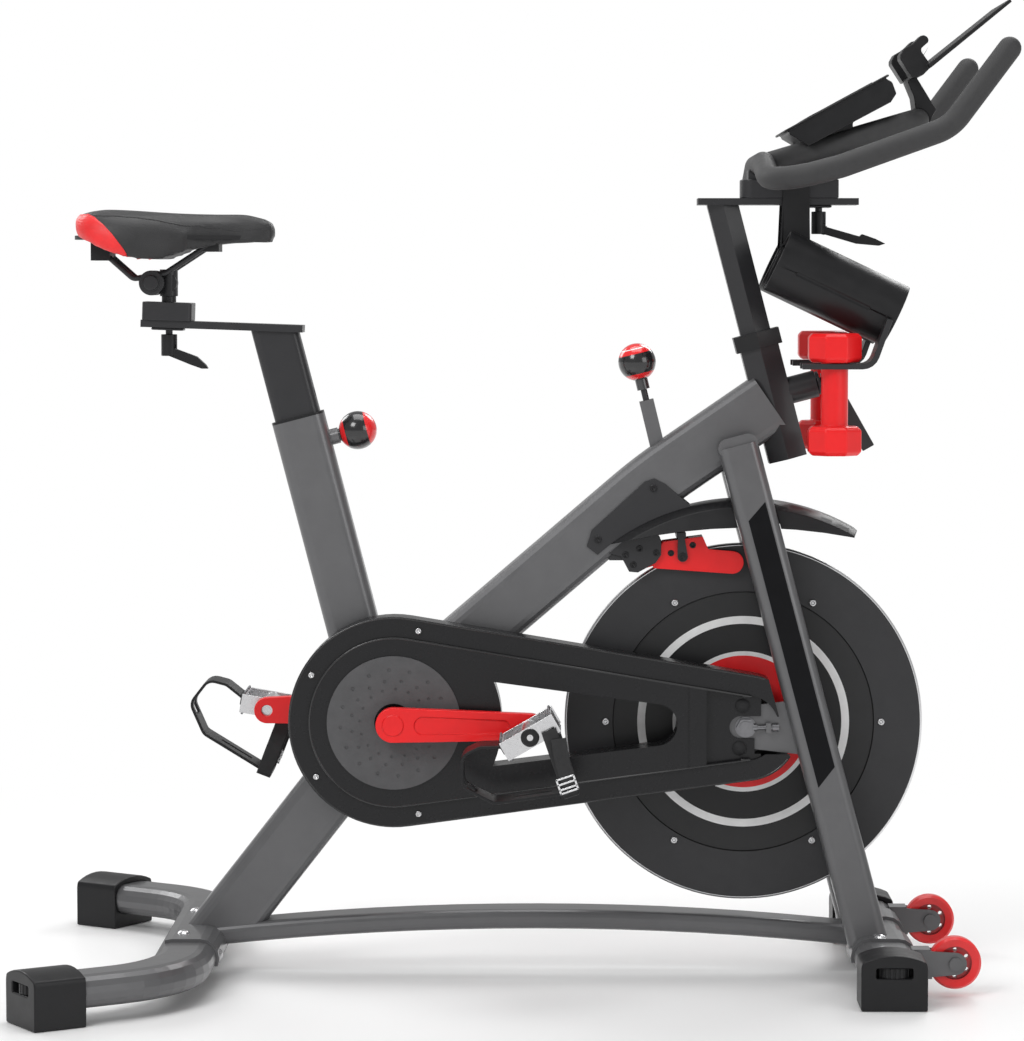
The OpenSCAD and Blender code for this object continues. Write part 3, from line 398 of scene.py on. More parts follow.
def swell(obj, cap):
    """Swells a closed piece as cloth under pressure; no point moves further than cap, in metres."""
    rest = [v.co.copy() for v in obj.data.vertices]
    cloth = obj.modifiers.new("cloth", "CLOTH")
    cloth.settings.quality = 5
    cloth.settings.mass = 0.2
    cloth.settings.tension_stiffness = 40
    cloth.settings.compression_stiffness = 40
    cloth.settings.shear_stiffness = 15
    cloth.settings.bending_stiffness = 4
    cloth.settings.use_pressure = True
    cloth.settings.uniform_pressure_force = 4
    cloth.settings.effector_weights.gravity = 0
    cloth.collision_settings.use_collision = False
    cloth.point_cache.frame_start, cloth.point_cache.frame_end = 1, CLOTH_FRAMES
    for f in range(1, CLOTH_FRAMES + 1):
        bpy.context.scene.frame_set(f)
    apply_all(obj)
    bpy.context.scene.frame_set(1)
    for v, r in zip(obj.data.vertices, rest):
        gone = v.co - r
        if gone.length > cap:
            v.co = r + gone.normalized() * cap


def saddle():
    """The saddle's padded cover, swollen from a form that is a little smaller."""
    pad = piece("saddle_cover", *saddle_mesh(SHRINK), saddle_black, "saddle", replaces=("saddle_pad",),
                slot="saddle")
    subdivided(pad, 3)
    apply_all(pad)
    remesh = pad.modifiers.new("remesh", "REMESH")
    remesh.mode = "VOXEL"
    remesh.voxel_size = VOXEL
    apply_all(pad)
    swell(pad, SWELL)
    smooth = pad.modifiers.new("smooth", "SMOOTH")
    smooth.iterations = 3
    subdivided(pad, 1)
    apply_all(pad)
    pad.data.materials.clear()
    pad.data.materials.append(saddle_black)
    pad.data.shade_smooth()
    return pad


saddle_pad = saddle()
saddle_tree = BVHTree.FromObject(saddle_pad, bpy.context.evaluated_depsgraph_get())


def onto_saddle(origin, direction, lift):
    """Where a ray from outside meets the saddle, lifted off it, in millimetres."""
    hit = saddle_tree.ray_cast(Vector(origin) * MM, Vector(direction).normalized())
    return None if hit[0] is None else (hit[0] + hit[1] * lift * MM) / MM


# Front edge of the red trim: x for each height.
TRIM = [(893, -476), (900, -481), (907.5, -485), (916.6, -492), (928, -501), (939.4, -512.5),
        (948.5, -526), (953, -539)]
TRIM_ALONG, TRIM_UP = 96, 14
# Half an ellipse round the saddle's rear, which the trim's rows are aimed from.
REAR_X, REAR_LONG, REAR_WIDE = -478, 80, 92
# The trim's lower edge over the skirt, its least width and its lift off the cover, its thickness in
# metres, and a distance that is well outside the saddle.
TRIM_SKIRT, TRIM_LEAST, TRIM_LIFT, TRIM_THICK, OUTSIDE = 3.5, 0.8, 0.9, 0.0014, 60


def trim_top(x):
    """Height of the trim's upper edge at x."""
    if x <= TRIM[-1][1]:
        return TRIM[-1][0] - 1
    for (z0, x0), (z1, x1) in zip(TRIM, TRIM[1:]):
        if x1 <= x <= x0:
            return z0 + (z1 - z0) * (x0 - x) / (x0 - x1)
    return TRIM[0][0]


def red_trim():
    """Red cover sheet round the rear of the saddle, from one side to the other."""
    rows = []
    for i in range(TRIM_ALONG + 1):
        t = math.pi * i / TRIM_ALONG
        c = Vector((REAR_X - REAR_LONG * math.sin(t), -REAR_WIDE * math.cos(t), 0))
        out = Vector((-math.sin(t) * REAR_WIDE / REAR_LONG, -math.cos(t), 0)).normalized()
        low = lerp(STATIONS, max(STATIONS[0][0] + 1, c.x + 2))[2] + TRIM_SKIRT
        high = max(low + TRIM_LEAST, trim_top(c.x))
        heights = [low + (high - low) * j / TRIM_UP for j in range(TRIM_UP + 1)]
        rows.append([onto_saddle(c + out * OUTSIDE + UP * z, -out, TRIM_LIFT) for z in heights])
    rows = [row for row in rows if all(p is not None for p in row)]
    m = TRIM_UP + 1
    faces = [(i * m + j, (i + 1) * m + j, (i + 1) * m + j + 1, i * m + j + 1)
             for i in range(len(rows) - 1) for j in range(TRIM_UP)]
    obj = piece("saddle_trim", [p for row in rows for p in row], faces, saddle_red, "saddle",
                slot="red_paint")
    thick = obj.modifiers.new("thick", "SOLIDIFY")
    thick.thickness = TRIM_THICK
    thick.offset = -0.5
    apply_all(obj)
    obj.data.shade_smooth()


red_trim()


def stitches(name, line, material, body, length=3.2, gap=1.6, r=0.45):
    """Short raised threads along a line of points, in millimetres."""
    points, faces = [], []
    total, todo = 0.0, 0.0
    for a, b in zip(line, line[1:]):
        span = (b - a).length
        d = (b - a).normalized() if span > 1e-6 else Vector((1, 0, 0))
        while todo < total + span:
            mid = a + d * (todo - total)
            e = d.orthogonal().normalized()
            f = d.cross(e)
            k = len(points)
            for s, w in ((-0.5, 0.3), (-0.25, 1), (0.25, 1), (0.5, 0.3)):
                for c, q in ((1, 0), (0, 1), (-1, 0), (0, -1)):
                    points.append(mid + d * length * s + (e * c + f * q) * r * w)
            faces += [tuple(k + i for i in face) for face in tube_faces(4, 4)]
            todo += length + gap
        total += span
    piece(name, points, faces, material, body)


SEAM_REAR, SEAM_NOSE, SEAM_STEPS = -538, -312, 120
# Where the seam lies across the half width, the piping's radius, and a height clear of the crown.
SEAM_SHARE, PIPING_R, ABOVE = 0.80, 0.9, 40


def saddle_seams():
    """Stitches and piping between the saddle's top panel and each side panel."""
    for side, s in SIDES:
        line = []
        for k in range(SEAM_STEPS + 1):
            x = SEAM_REAR + (SEAM_NOSE - SEAM_REAR) * k / SEAM_STEPS
            _, half_width, _, crown = lerp(STATIONS, x)
            at = onto_saddle((x, s * half_width * SEAM_SHARE, crown + ABOVE), -UP, 0.15)
            if at is not None:
                line.append(at)
        stitches(f"saddle_seam_{side}", line, thread, "saddle")
        cord = [p + Vector((0, -s * 1.2, 0.2)) for p in line]
        sweep(f"saddle_piping_{side}", cord, (0, 0, 1), ring(PIPING_R, 8), saddle_black, "saddle")


saddle_seams()


# ---------------------------------------------------------------- banded pieces

RED, WHITE, BLACK = (0.74, 0.015, 0.018), (0.80, 0.80, 0.80), (0.011, 0.011, 0.012)


def banded(name, distance, stops, rough, coat=0.2, metal_from=None, specular=0.5):
    """Paint in bands. distance adds the nodes that give a distance in metres.

    Each stop is the distance where a band starts and its colour; bare metal starts at metal_from.
    """
    m, tree, bsdf = shader(name, stops[0][1], rough, coat=coat, specular=specular)
    value = distance(tree)
    reach = stops[-1][0] * 1.25
    level = add(tree, "ShaderNodeMapRange")
    level.inputs["From Max"].default_value = reach
    tree.links.new(value, level.inputs["Value"])
    ramp = add(tree, "ShaderNodeValToRGB")
    ramp.color_ramp.interpolation = "CONSTANT"
    points = ramp.color_ramp.elements
    while len(points) > 1:
        points.remove(points[-1])
    points[0].position = stops[0][0] / reach
    points[0].color = (*stops[0][1], 1)
    for at, colour in stops[1:]:
        points.new(at / reach).color = (*colour, 1)
    join(tree, level, "Result", ramp, "Fac")
    noise = add(tree, "ShaderNodeTexNoise", i_Scale=60.0, i_Detail=4.0)
    join(tree, place(tree), "Object", noise, "Vector")
    tone = add(tree, "ShaderNodeMapRange")
    tone.inputs["To Min"].default_value = 0.86
    tone.inputs["To Max"].default_value = 1.12
    join(tree, noise, "Fac", tone, "Value")
    scale = add(tree, "ShaderNodeVectorMath", operation="SCALE")
    join(tree, ramp, "Color", scale, 0)
    join(tree, tone, "Result", scale, "Scale")
    join(tree, scale, "Vector", bsdf, "Base Color")
    if metal_from is not None:
        bare = add(tree, "ShaderNodeMath", operation="GREATER_THAN")
        tree.links.new(value, bare.inputs[0])
        bare.inputs[1].default_value = metal_from
        join(tree, bare, "Value", bsdf, "Metallic")
    grain(tree, bsdf, 0.0014, 0.00004, 0.4)
    return m


def from_axle(x, z):
    """Distance from a line along Y through (x, z)."""
    def nodes_for(tree):
        flat = add(tree, "ShaderNodeVectorMath", operation="MULTIPLY")
        flat.inputs[1].default_value = (1, 0, 1)
        join(tree, place(tree), "Object", flat, 0)
        away = add(tree, "ShaderNodeVectorMath", operation="SUBTRACT")
        away.inputs[1].default_value = (x, 0, z)
        join(tree, flat, "Vector", away, 0)
        length = add(tree, "ShaderNodeVectorMath", operation="LENGTH")
        join(tree, away, "Vector", length, 0)
        return length.outputs["Value"]
    return nodes_for


def along_line(start, axis):
    """Distance along an axis from a starting point."""
    def nodes_for(tree):
        away = add(tree, "ShaderNodeVectorMath", operation="SUBTRACT")
        away.inputs[1].default_value = start
        join(tree, place(tree), "Object", away, 0)
        dot = add(tree, "ShaderNodeVectorMath", operation="DOT_PRODUCT")
        dot.inputs[1].default_value = axis
        join(tree, away, "Vector", dot, 0)
        return dot.outputs["Value"]
    return nodes_for


# The third tone here, near black, is painted shade in the groove between the flywheel's web and its rim.
CHARCOAL, WEB, GROOVE_SHADE = (0.030, 0.030, 0.032), (0.020, 0.020, 0.021), (0.004, 0.004, 0.004)
BARE = (0.75, 0.75, 0.76)
RIM_FROM = 0.2215
# Hub, thin ring, plain band, thick ring, web, groove painted near black as its shade, cover and bare rim,
# from the axle outwards.
FLYWHEEL_BANDS = [
    (0.0, RED), (0.083, WHITE), (0.0885, BLACK), (0.1225, WHITE), (0.132, WEB), (0.1625, GROOVE_SHADE),
    (0.1642, CHARCOAL), (RIM_FROM, BARE)]
nodes["flywheel"].data.materials[0] = banded(
    "flywheel_paint", from_axle(AXLE_X * MM, AXLE_Z * MM), FLYWHEEL_BANDS, 0.36, 0.05,
    metal_from=RIM_FROM, specular=0.3)

# Middle of the resistance knob's ball and the way it points, in metres; its bands start below the ball.
KNOB_AT, KNOB_UP, KNOB_DROP = Vector((0.1469, 0, 0.7693)), Vector((-0.2363, 0, 0.9717)), 0.036
KNOB_BANDS = [
    (0.0, CHARCOAL), (0.0155, RED), (0.0215, BLACK), (0.0465, RED), (0.0522, WHITE), (0.0534, RED)]
nodes["resistance_knob"].data.materials[0] = banded(
    "knob_paint", along_line(KNOB_AT - KNOB_UP * KNOB_DROP, KNOB_UP), KNOB_BANDS, 0.18, 0.5)

# Mouth of the seat tube, the tube's own direction and the seat knob's, in metres.
SEAT_MOUTH, SEAT_UP = Vector((-0.2773, 0, 0.6982)), Vector((-0.25207, 0, 0.96771))
SEAT_OUT, PIN_DROP = Vector((0.96771, 0, 0.25207)), 0.0326
PULL_BANDS = [(0.0, (0.55, 0.55, 0.56)), (0.044, CHARCOAL), (0.0465, RED), (0.0530, BLACK), (0.0800, RED)]
nodes["seat_knob"].data.materials[0] = banded(
    "pull_paint", along_line(SEAT_MOUTH - SEAT_UP * PIN_DROP, SEAT_OUT), PULL_BANDS, 0.2, 0.5)

# The transport wheels' axle, in metres, and their darker hub inside the tread.
WHEEL_AXLE = (0.5326, 0.0405)
wheel_paint = banded("wheel_paint", from_axle(*WHEEL_AXLE),
                     [(0.0, (0.42, 0.012, 0.014)), (0.0205, (0.80, 0.020, 0.022))], 0.34, 0.2)
for side, _ in SIDES:
    nodes[f"wheel_{side}"].data.materials[0] = wheel_paint


# ---------------------------------------------------------------- rounded edges

# CAD pieces whose edges are rounded a little: node, body, width in millimetres.
SOFTENED = [
    ("foot_caps", "root", 2.0), ("console", "bar_head", 1.6),
    ("tablet_holder", "bar_head", 1.2), ("bottle_holder", "bar_head", 1.2),
    ("weight_forks", "bar_head", 0.8), ("dumbbell_right", "dumbbell_right", 1.6),
    ("dumbbell_left", "dumbbell_left", 1.6), ("crank_right", "crank", 1.2),
    ("crank_left", "crank", 1.2), ("magnet_arm", "magnet_arm", 0.5),
    ("fender", "root", 0.8), ("fender_bracket", "root", 0.5), ("seat_slider", "seat_slider", 1.0),
    ("bar_slider", "bar_head", 1.2), ("seat_lever", "seat_lever", 0.8),
    ("bar_lever", "bar_lever", 0.8), ("height_lever", "height_lever", 1.0),
    ("pedal_right", "pedal_right", 0.5), ("pedal_left", "pedal_left", 0.5),
    ("toe_cage_right", "pedal_right", 0.8), ("toe_cage_left", "pedal_left", 0.8),
    ("rail_clamp", "saddle", 0.8), ("seat_clamp", "seat_slider", 0.6),
]

# Nodes with openings through a flat face, whose triangles are kept apart.
PIERCED = {"magnet_arm", "bottle_holder"}
# Points closer than WELD metres are joined, faces within FLAT of one plane are merged, and edges
# sharper than CREASE degrees are rounded.
WELD, FLAT, CREASE = 0.00002, math.radians(0.6), 32


def softened(name, body, width):
    """A copy of a CAD node, with its edges rounded by width, drawn in its place."""
    node = nodes[name]
    shape = bmesh.new()
    shape.from_mesh(node.data)
    bmesh.ops.transform(shape, matrix=node.matrix_world, verts=shape.verts)
    bmesh.ops.remove_doubles(shape, verts=shape.verts, dist=WELD)
    if name not in PIERCED:
        bmesh.ops.dissolve_limit(shape, angle_limit=FLAT, verts=shape.verts, edges=shape.edges)
    points = [v.co / MM for v in shape.verts]
    faces = [tuple(v.index for v in f.verts) for f in shape.faces]
    shape.free()
    obj = piece(f"{name}_body", points, faces, LOOKS[name], body, replaces=[name])
    mod = bevelled(obj, width, 3, CREASE).modifiers["bevel"]
    mod.use_clamp_overlap = False
    mod.miter_outer = "MITER_ARC"


for name, body, width in SOFTENED:
    softened(name, body, width)


# ---------------------------------------------------------------- small fittings

def merged(shapes):
    """Several (points, faces) as one."""
    points, faces = [], []
    for p, f in shapes:
        k = len(points)
        points += p
        faces += [tuple(i + k for i in face) for face in f]
    return points, faces


def turned_shape(at, axis, profile, steps=32):
    """A turned form; profile is (radius, distance along the axis) from end to end."""
    axis = Vector(axis).normalized()
    u = axis.orthogonal().normalized()
    v = axis.cross(u)
    points, m = [], len(profile)
    for i in range(steps):
        t = 2 * math.pi * i / steps
        out = u * math.cos(t) + v * math.sin(t)
        points += [Vector(at) + axis * h + out * r for r, h in profile]
    faces = [(i * m + j, ((i + 1) % steps) * m + j, ((i + 1) % steps) * m + j + 1, i * m + j + 1)
             for i in range(steps) for j in range(m - 1)]
    return points, faces


def block_shape(where, low, high):
    """A box between two corners in a local frame; where turns its places into the bike's."""
    corners = [where(p) for p in product(*zip(low, high))]
    return corners, [(0, 1, 3, 2), (4, 6, 7, 5), (0, 4, 5, 1), (2, 3, 7, 6), (0, 2, 6, 4), (1, 5, 7, 3)]


def round_axle(x, z, r, angles, y):
    """Places on a circle of radius r about (x, z), at the given angles in degrees."""
    turns = [math.radians(a) for a in angles]
    return [(x + r * math.cos(t), y, z + r * math.sin(t)) for t in turns]


FLYWHEEL_FACE, BOLT_CIRCLE = 10.3, 173


def flywheel_bolts():
    """Six dished bolt heads in each face of the flywheel."""
    cap = [(0.01, 1.4), (1.6, 1.4), (1.9, 0.6), (2.4, 1.9), (3.6, 1.9), (4.3, 1.2), (4.5, 0), (4.5, -1.4)]
    for side, s in SIDES:
        places = round_axle(AXLE_X, AXLE_Z, BOLT_CIRCLE, range(0, 360, 60), s * FLYWHEEL_FACE)
        shapes = [turned_shape(p, (0, s, 0), cap) for p in places]
        obj = piece(f"flywheel_bolts_{side}", *merged(shapes), steel, "flywheel", slot="steel")
        bevelled(obj, 0.2, 1)


flywheel_bolts()

# Ends of the right leg's middle line, the distance to its outer face, and the panel's thickness.
LEG_FOOT, LEG_TOP = Vector((433.5, -79, 50)), Vector((268, -45.5, 678))
LEG_DEEP, PANEL_THICK = 19.9, 0.45
decal_black = moulded("decal_black", (0.004, 0.004, 0.005), 0.35, 0.003, 0.00002, specular=0.15)


def leg_panels():
    """Plain black panel with slanted ends on the outer face of each fork leg."""
    d = (LEG_TOP - LEG_FOOT).normalized()
    y = (Vector((0, 1, 0)) - d * d.y).normalized()
    x = y.cross(d)
    outline = [(-11.5, 204), (14.6, 224), (14.6, 563), (-11.5, 545)]
    for side, s in SIDES:
        corners = [LEG_FOOT + x * a + d * b - y * LEG_DEEP for a, b in outline]
        depth = -y * PANEL_THICK
        if s > 0:
            corners = [Vector((p.x, -p.y, p.z)) for p in corners]
            depth = Vector((depth.x, -depth.y, depth.z))
        obj = plate(f"leg_panel_{side}", corners, depth, decal_black, "root", slot="black_plastic")
        bevelled(obj, 0.15, 1)


leg_panels()


# Each pedal's place at the end of its crank, its turn about its axle, and the way its axle points.
PEDALS = {"right": ((14.2, -125, 322.5), 150, -1), "left": ((-324.8, 114, 320.5), 190, 1)}


def turned_by(degrees, p):
    """The point p turned about the Y axis."""
    c, q = math.cos(math.radians(degrees)), math.sin(math.radians(degrees))
    return p[0] * c + p[2] * q, p[1], p[2] * c - p[0] * q


def at_pedal(side):
    """Turns a pedal's own coordinates into the bike's: y outwards along its axle, z towards the foot."""
    tip, turn, s = PEDALS[side]

    def where(p):
        x, y, z = turned_by(turn, p)
        return Vector((tip[0] + x, tip[1] + s * y, tip[2] + z))
    return where


STRAP_LEAN, STRAP_X, STRAP_Z = 11, -24, 4


def at_strap(side):
    """The same for the toe strap's own coordinates: z up the strap, which leans on its pedal."""
    where = at_pedal(side)

    def inside(p):
        x, y, z = turned_by(STRAP_LEAN, p)
        return where((x + STRAP_X, y, z + STRAP_Z))
    return inside


def webbing(name, colour, rough):
    """Woven nylon strap."""
    m, tree, bsdf = shader(name, colour, rough)
    vary(tree, bsdf, colour, 0.25, 0.006, 0.05, rough)
    weave = add(tree, "ShaderNodeTexChecker", i_Scale=900.0)
    join(tree, place(tree), "Object", weave, "Vector")
    bumps(tree, bsdf, weave, "Fac", 0.0003, 0.7)
    return m


webbing_black = webbing("webbing", (0.022, 0.022, 0.023), 0.8)
buckle_metal = brushed("buckle_metal", (0.75, 0.75, 0.76), 0.22)


STRAP_THICK, STRAP_WIDE = 1.4, 18.6
# The buckle's size, the faces it lies between, and the widths of its rungs and rails.
BUCKLE_WIDE, BUCKLE_LOW, BUCKLE_HIGH = 24, 58, 77.8
BUCKLE_IN, BUCKLE_OUT, RUNG, RAIL = 95.6, 98.2, 2.4, 2.6


def toe_straps():
    """Strap through each toe cage, its loose end and the buckle that holds it."""
    thin, wide = STRAP_THICK / 2, STRAP_WIDE / 2
    band = [(-thin, -wide), (thin, -wide), (thin, wide), (-thin, wide)]
    loop = rounded([(0, -4.9, -1), (0, -4.9, 84.9), (0, 94.9, 84.9), (0, 94.9, -1)], 9, 6)
    tail = rounded([(-3, 96.4, 70), (-3, 97.4, 40), (-8, 98.4, 12)], 60, 6)
    half = BUCKLE_WIDE / 2
    for side, _ in SIDES:
        inside = at_strap(side)
        across = (inside((1, 0, 0)) - inside((0, 0, 0))).normalized()
        for name, line in (("toe_strap", loop), ("strap_tail", tail)):
            ply = sweep(f"{name}_{side}", [inside(p) for p in line], across, band, webbing_black,
                        f"pedal_{side}", smooth=False, slot="toe_cage")
            bevelled(ply, 0.35, 2)
        bars = [block_shape(inside, (-half, BUCKLE_IN, z), (half, BUCKLE_OUT, z + RUNG))
                for z in (BUCKLE_LOW, 64.4, 70.8, BUCKLE_HIGH - RUNG)]
        bars += [block_shape(inside, (x, BUCKLE_IN, BUCKLE_LOW), (x + RAIL, BUCKLE_OUT, BUCKLE_HIGH))
                 for x in (-half, half - RAIL)]
        obj = piece(f"strap_buckle_{side}", *merged(bars), buckle_metal, f"pedal_{side}", smooth=False,
                    slot="pedal")
        bevelled(obj, 0.5, 2)


toe_straps()


def glass(name, colour, rough=0.08):
    """Glossy cover over a plain colour."""
    m, tree, bsdf = shader(name, colour, rough, coat=0.6, coat_rough=0.04)
    vary(tree, bsdf, colour, 0.05, 0.02)
    return m


# Lower rear edge of the console's face in X and Z, and the slope of the face.
CONSOLE_X, CONSOLE_Z, CONSOLE_TILT = 325.8, 1052, 28.5


def on_console(p):
    """Turns the console's own coordinates into the bike's: x up its face, z out of it."""
    x, y, z = turned_by(-CONSOLE_TILT, p)
    return Vector((CONSOLE_X + x, y, CONSOLE_Z + z))


GLASS_LOW, GLASS_HIGH, GLASS_HALF = 28.5, 123.5, 69.5
FIELD_TALL, FIELD_WIDE, KEYS_X = 17, 37, 41
# Heights over the recess's floor: the glass from and to, the fields from and to, and the keys.
GLASS_IN, GLASS_OUT, FIELD_IN, FIELD_OUT, KEYS_Z = 2.0, 2.5, 2.45, 2.75, 2.3


def console_face():
    """Glass over the console's recess, a display with blank fields, and a row of keys."""
    screen = glass("screen_glass", (0.006, 0.006, 0.008))
    cover = block_shape(on_console, (GLASS_LOW, -GLASS_HALF, GLASS_IN), (GLASS_HIGH, GLASS_HALF, GLASS_OUT))
    face = piece("console_glass", *cover, screen, "bar_head", smooth=False, slot="black_plastic")
    bevelled(face, 0.2, 1)
    fields = [block_shape(on_console, (x, y, FIELD_IN), (x + FIELD_TALL, y + FIELD_WIDE, FIELD_OUT))
              for x in (56, 78, 100) for y in (-62, -18.5, 25)]
    lcd = piece("console_fields", *merged(fields), glass("lcd", (0.10, 0.12, 0.105), 0.25), "bar_head",
                smooth=False, slot="black_plastic")
    bevelled(lcd, 0.1, 1)
    key = [(0.01, 1.5), (5.2, 1.5), (6.2, 1.1), (6.6, 0.3), (6.6, -0.3)]
    out = on_console((0, 0, 1)) - on_console((0, 0, 0))
    keys = [turned_shape(on_console((KEYS_X, y, KEYS_Z)), out, key, 28) for y in (-52, -26, 0, 26, 52)]
    piece("console_keys", *merged(keys), rubber, "bar_head", slot="black_plastic")


console_face()

GUARD_FACE, SCREW_CIRCLE, SCREW_R = -80.0, 118, 3.4
# Depth of the dark discs behind the guard's holes, which are painted shade for the holes.
HOLE_SHADE_Y = -72


def guard_screws():
    """Screw heads with recessed sockets round the guard's crank end."""
    r = SCREW_R
    head = [(0.01, -0.8), (r * 0.55, -0.8), (r * 0.6, 0.35), (r, 0.5), (r * 1.05, 0.1), (r * 1.05, -0.6)]
    places = round_axle(CRANK_X, CRANK_Z, SCREW_CIRCLE, (75, 150, 215, 285), GUARD_FACE)
    piece("guard_screws", *merged([turned_shape(p, (0, -1, 0), head, 24) for p in places]), steel, "root",
          slot="steel")


guard_screws()


def caps(name, places, side, r, body):
    """Low round heads with a dished middle, on one side of the bike; places are (x, y, z) on its left."""
    head = [(0.01, 0.1), (r * 0.45, 0.1), (r * 0.5, 0.9), (r * 0.9, 1.1), (r, 0.6), (r, -1.0)]
    label, s = side
    shapes = [turned_shape((x, s * y, z), (0, s, 0), head, 28) for x, y, z in places]
    piece(f"{name}_{label}", *merged(shapes), black_plastic, body, slot="black_plastic")


def brake_bolts():
    """Heads on the magnet arm's hinge, its link and the fender's bracket, and dark discs behind the guard's
    two holes, which paint the shade inside them.
    """
    hinge = [(132.7, 25, 529.3), (142.3, 25, 516.9), (150, 25, 537), (170.8, 25, 531.7)]
    bracket = [(98, 32.5, 549), (167, 32.5, 613)]
    for side in SIDES:
        caps("bracket_bolts", hinge + bracket, side, 4.2, "root")
        caps("arm_bolts", [(189.4, 19, 531), (216.6, 19, 541)], side, 4, "magnet_arm")
        caps("link_bolt", [(203.9, 23.5, 526.7)], side, 5.4, "brake_rod")
    # Dark discs set behind the guard's holes: painted shade in place of the dark inside of the holes.
    hole_shade_disc = [(0.01, 0), (8.8, 0), (8.8, -3)]
    shapes = [turned_shape(p, (0, -1, 0), hole_shade_disc, 32) for p in ((277, HOLE_SHADE_Y, 345), (273.5, HOLE_SHADE_Y, 292))]
    piece("guard_hole_shade", *merged(shapes), rubber, "root", slot="black_plastic")


brake_bolts()


SPINDLE_END, PIN_X, PIN_Z = 91, 33.5, 12.4


def pedal_caps():
    """Dust caps over the ends of the pedal spindles, and grip pins along the pedal's edges."""
    cap = [(0.01, -0.4), (3.6, -0.4), (4.2, 0.9), (7, 1.2), (9.6, 1.2), (10.6, 0.6), (11.2, -0.4)]
    pin = [(0.01, 2.6), (1.1, 2.6), (1.4, 2.2), (1.5, -1)]
    for side, _ in SIDES:
        where = at_pedal(side)
        middle = where((0, SPINDLE_END, 0))
        piece(f"pedal_cap_{side}", *turned_shape(middle, where((0, SPINDLE_END + 1, 0)) - middle, cap, 36),
              black_plastic, f"pedal_{side}", slot="toe_cage")
        pins = []
        for x, y, up in product((-PIN_X, PIN_X), range(8, 90, 12), (-1, 1)):
            foot = where((x, y, up * PIN_Z))
            pins.append(turned_shape(foot, where((x, y, up * (PIN_Z + 1))) - foot, pin, 12))
        piece(f"pedal_pins_{side}", *merged(pins), zinc, f"pedal_{side}", slot="steel")


pedal_caps()

# Radii of the guard about the crank and about the flywheel's axle, and of its beads.
GUARD_BIG, GUARD_SMALL, BEAD_R = 131, 66, 1.6
edge_plastic = moulded("edge_plastic", (0.014, 0.014, 0.015), 0.2, 0.004, 0.00002, specular=0.6)


def guard_outline(grow, first, last):
    """The guard's outline in X and Z, from one angle about the axle, round the crank, to another."""
    crank, axle = Vector((CRANK_X, CRANK_Z)), Vector((AXLE_X, AXLE_Z))
    big, small = GUARD_BIG + grow, GUARD_SMALL + grow
    span = axle - crank
    t = math.atan2(span.y, span.x)
    k = math.acos((big - small) / span.length)

    def arc(middle, r, a, b, steps):
        turns = [a + (b - a) * i / steps for i in range(steps + 1)]
        return [middle + r * Vector((math.cos(u), math.sin(u))) for u in turns]
    return (arc(axle, small, math.radians(first), t + k, 6)
            + arc(crank, big, t + k, t + 2 * math.pi - k, 48)
            + arc(axle, small, t - k, math.radians(last), 12))


def guard_beads():
    """Rounded edges of the guard's rim and of its raised panel, which catch the light."""
    for name, grow, y, first, last in (
            ("guard_rim", -1.3, -74.8, 69, -36), ("guard_panel_edge", -26.3, -78.9, 96, -99)):
        line = [Vector((p.x, y, p.y)) for p in guard_outline(grow, first, last)]
        sweep(name, line, (0, 1, 0), ring(BEAD_R, 12), edge_plastic, "root", slot="black_plastic")


guard_beads()


# ---------------------------------------------------------------- studio

FLOOR_R, FLOOR_DROP = 40, 0.0005
FADE_FROM, FADE_TO = 0.7, 1.9
# Each lamp's name, place, aim, power and size.
LAMPS = [
    ("key", (-1.8, -2.8, 3.0), (0, 0, 0.6), 62, 1.5),
    ("fill", (2.6, -2.4, 1.6), (0, 0, 0.6), 20, 1.6),
    ("rim", (1.4, 2.6, 2.6), (0, 0, 0.7), 42, 1.5),
    ("rim_left", (-2.2, 2.2, 2.2), (0, 0, 0.7), 30, 1.5),
    ("top", (0, 0.1, 3.4), (0, 0, 0.5), 50, 2.2)]


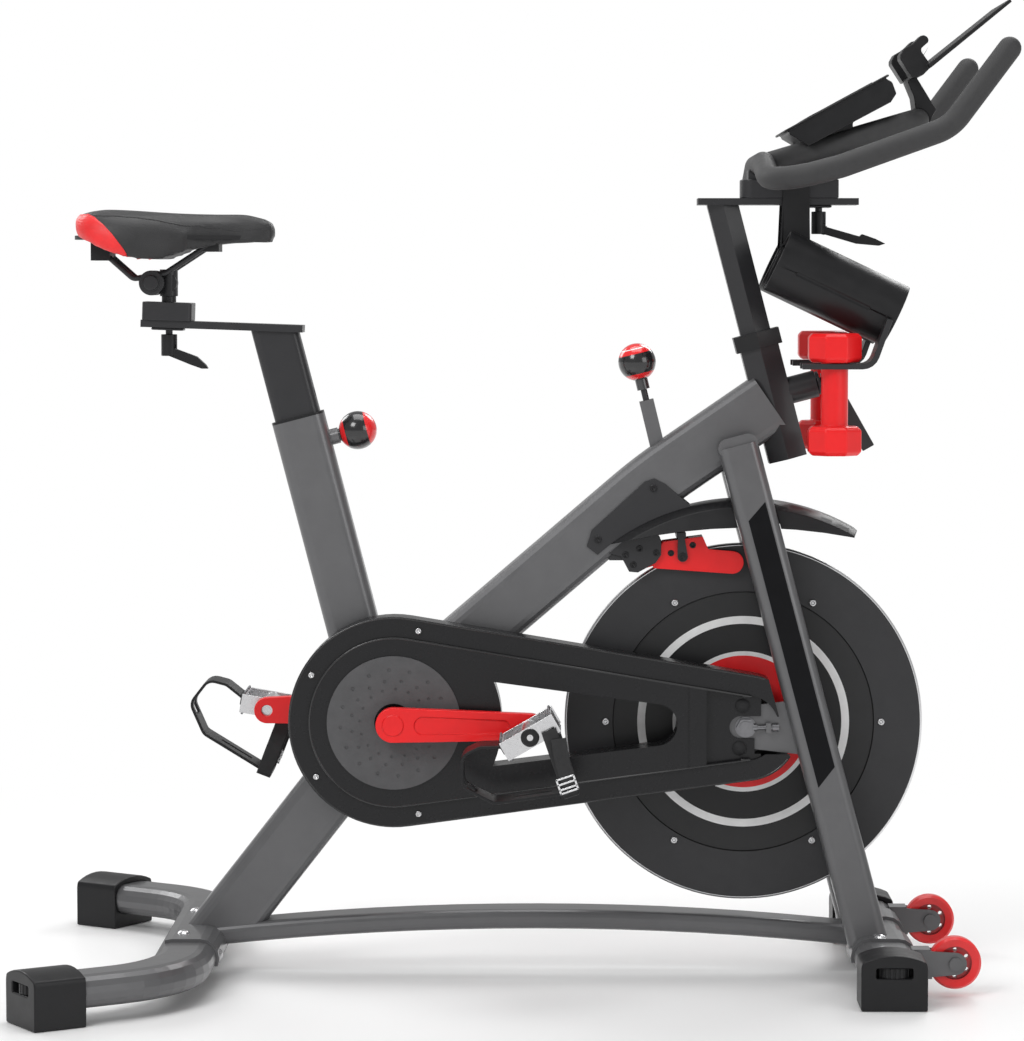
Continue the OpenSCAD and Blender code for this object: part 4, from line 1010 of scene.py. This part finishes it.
def surround():
    """A dim white world that the camera sees as plain white."""
    world = bpy.data.worlds.new("studio")
    world.use_nodes = True
    tree = world.node_tree
    dim = tree.nodes["Background"]
    white = add(tree, "ShaderNodeBackground")
    for background, strength in ((dim, 0.42), (white, 1.0)):
        background.inputs["Color"].default_value = (1, 1, 1, 1)
        background.inputs["Strength"].default_value = strength
    seen = add(tree, "ShaderNodeLightPath")
    mix = add(tree, "ShaderNodeMixShader")
    join(tree, seen, "Is Camera Ray", mix, 0)
    join(tree, dim, 0, mix, 1)
    join(tree, white, 0, mix, 2)
    join(tree, mix, 0, tree.nodes["World Output"], "Surface")
    bpy.context.scene.world = world


def paper(name, colour, rough):
    """Pale floor that fades into plain white with distance from the bike."""
    m, tree, bsdf = shader(name, colour, rough)
    vary(tree, bsdf, colour, 0.006, 0.5)
    far = add(tree, "ShaderNodeEmission", i_Strength=1.0)
    far.inputs["Color"].default_value = (1, 1, 1, 1)
    reach = add(tree, "ShaderNodeVectorMath", operation="LENGTH")
    join(tree, place(tree), "Object", reach, 0)
    fade = add(tree, "ShaderNodeMapRange", interpolation_type="SMOOTHSTEP")
    fade.inputs["From Min"].default_value = FADE_FROM
    fade.inputs["From Max"].default_value = FADE_TO
    join(tree, reach, "Value", fade, "Value")
    blend = add(tree, "ShaderNodeMixShader")
    join(tree, fade, "Result", blend, 0)
    join(tree, bsdf, 0, blend, 1)
    join(tree, far, 0, blend, 2)
    join(tree, blend, 0, tree.nodes["Material Output"], "Surface")
    return m


def studio():
    """White studio, in metres: surround, floor and soft lamps."""
    bpy.context.scene.view_settings.view_transform = "Standard"
    surround()
    mesh = bpy.data.meshes.new("floor")
    shape = bmesh.new()
    bmesh.ops.create_circle(shape, cap_ends=True, segments=96, radius=FLOOR_R)
    shape.to_mesh(mesh)
    shape.free()
    floor = bpy.data.objects.new("floor", mesh)
    floor.location.z = -FLOOR_DROP
    bpy.context.scene.collection.objects.link(floor)
    mesh.materials.append(paper("floor_paper", (0.92, 0.92, 0.92), 0.4))
    for name, at, aim, power, size in LAMPS:
        light = bpy.data.lights.new(name, "AREA")
        light.energy = power
        light.size = size
        lamp = bpy.data.objects.new(name, light)
        lamp.location = at
        lamp.rotation_euler = (Vector(aim) - Vector(at)).to_track_quat("-Z", "Y").to_euler()
        bpy.context.scene.collection.objects.link(lamp)


studio()
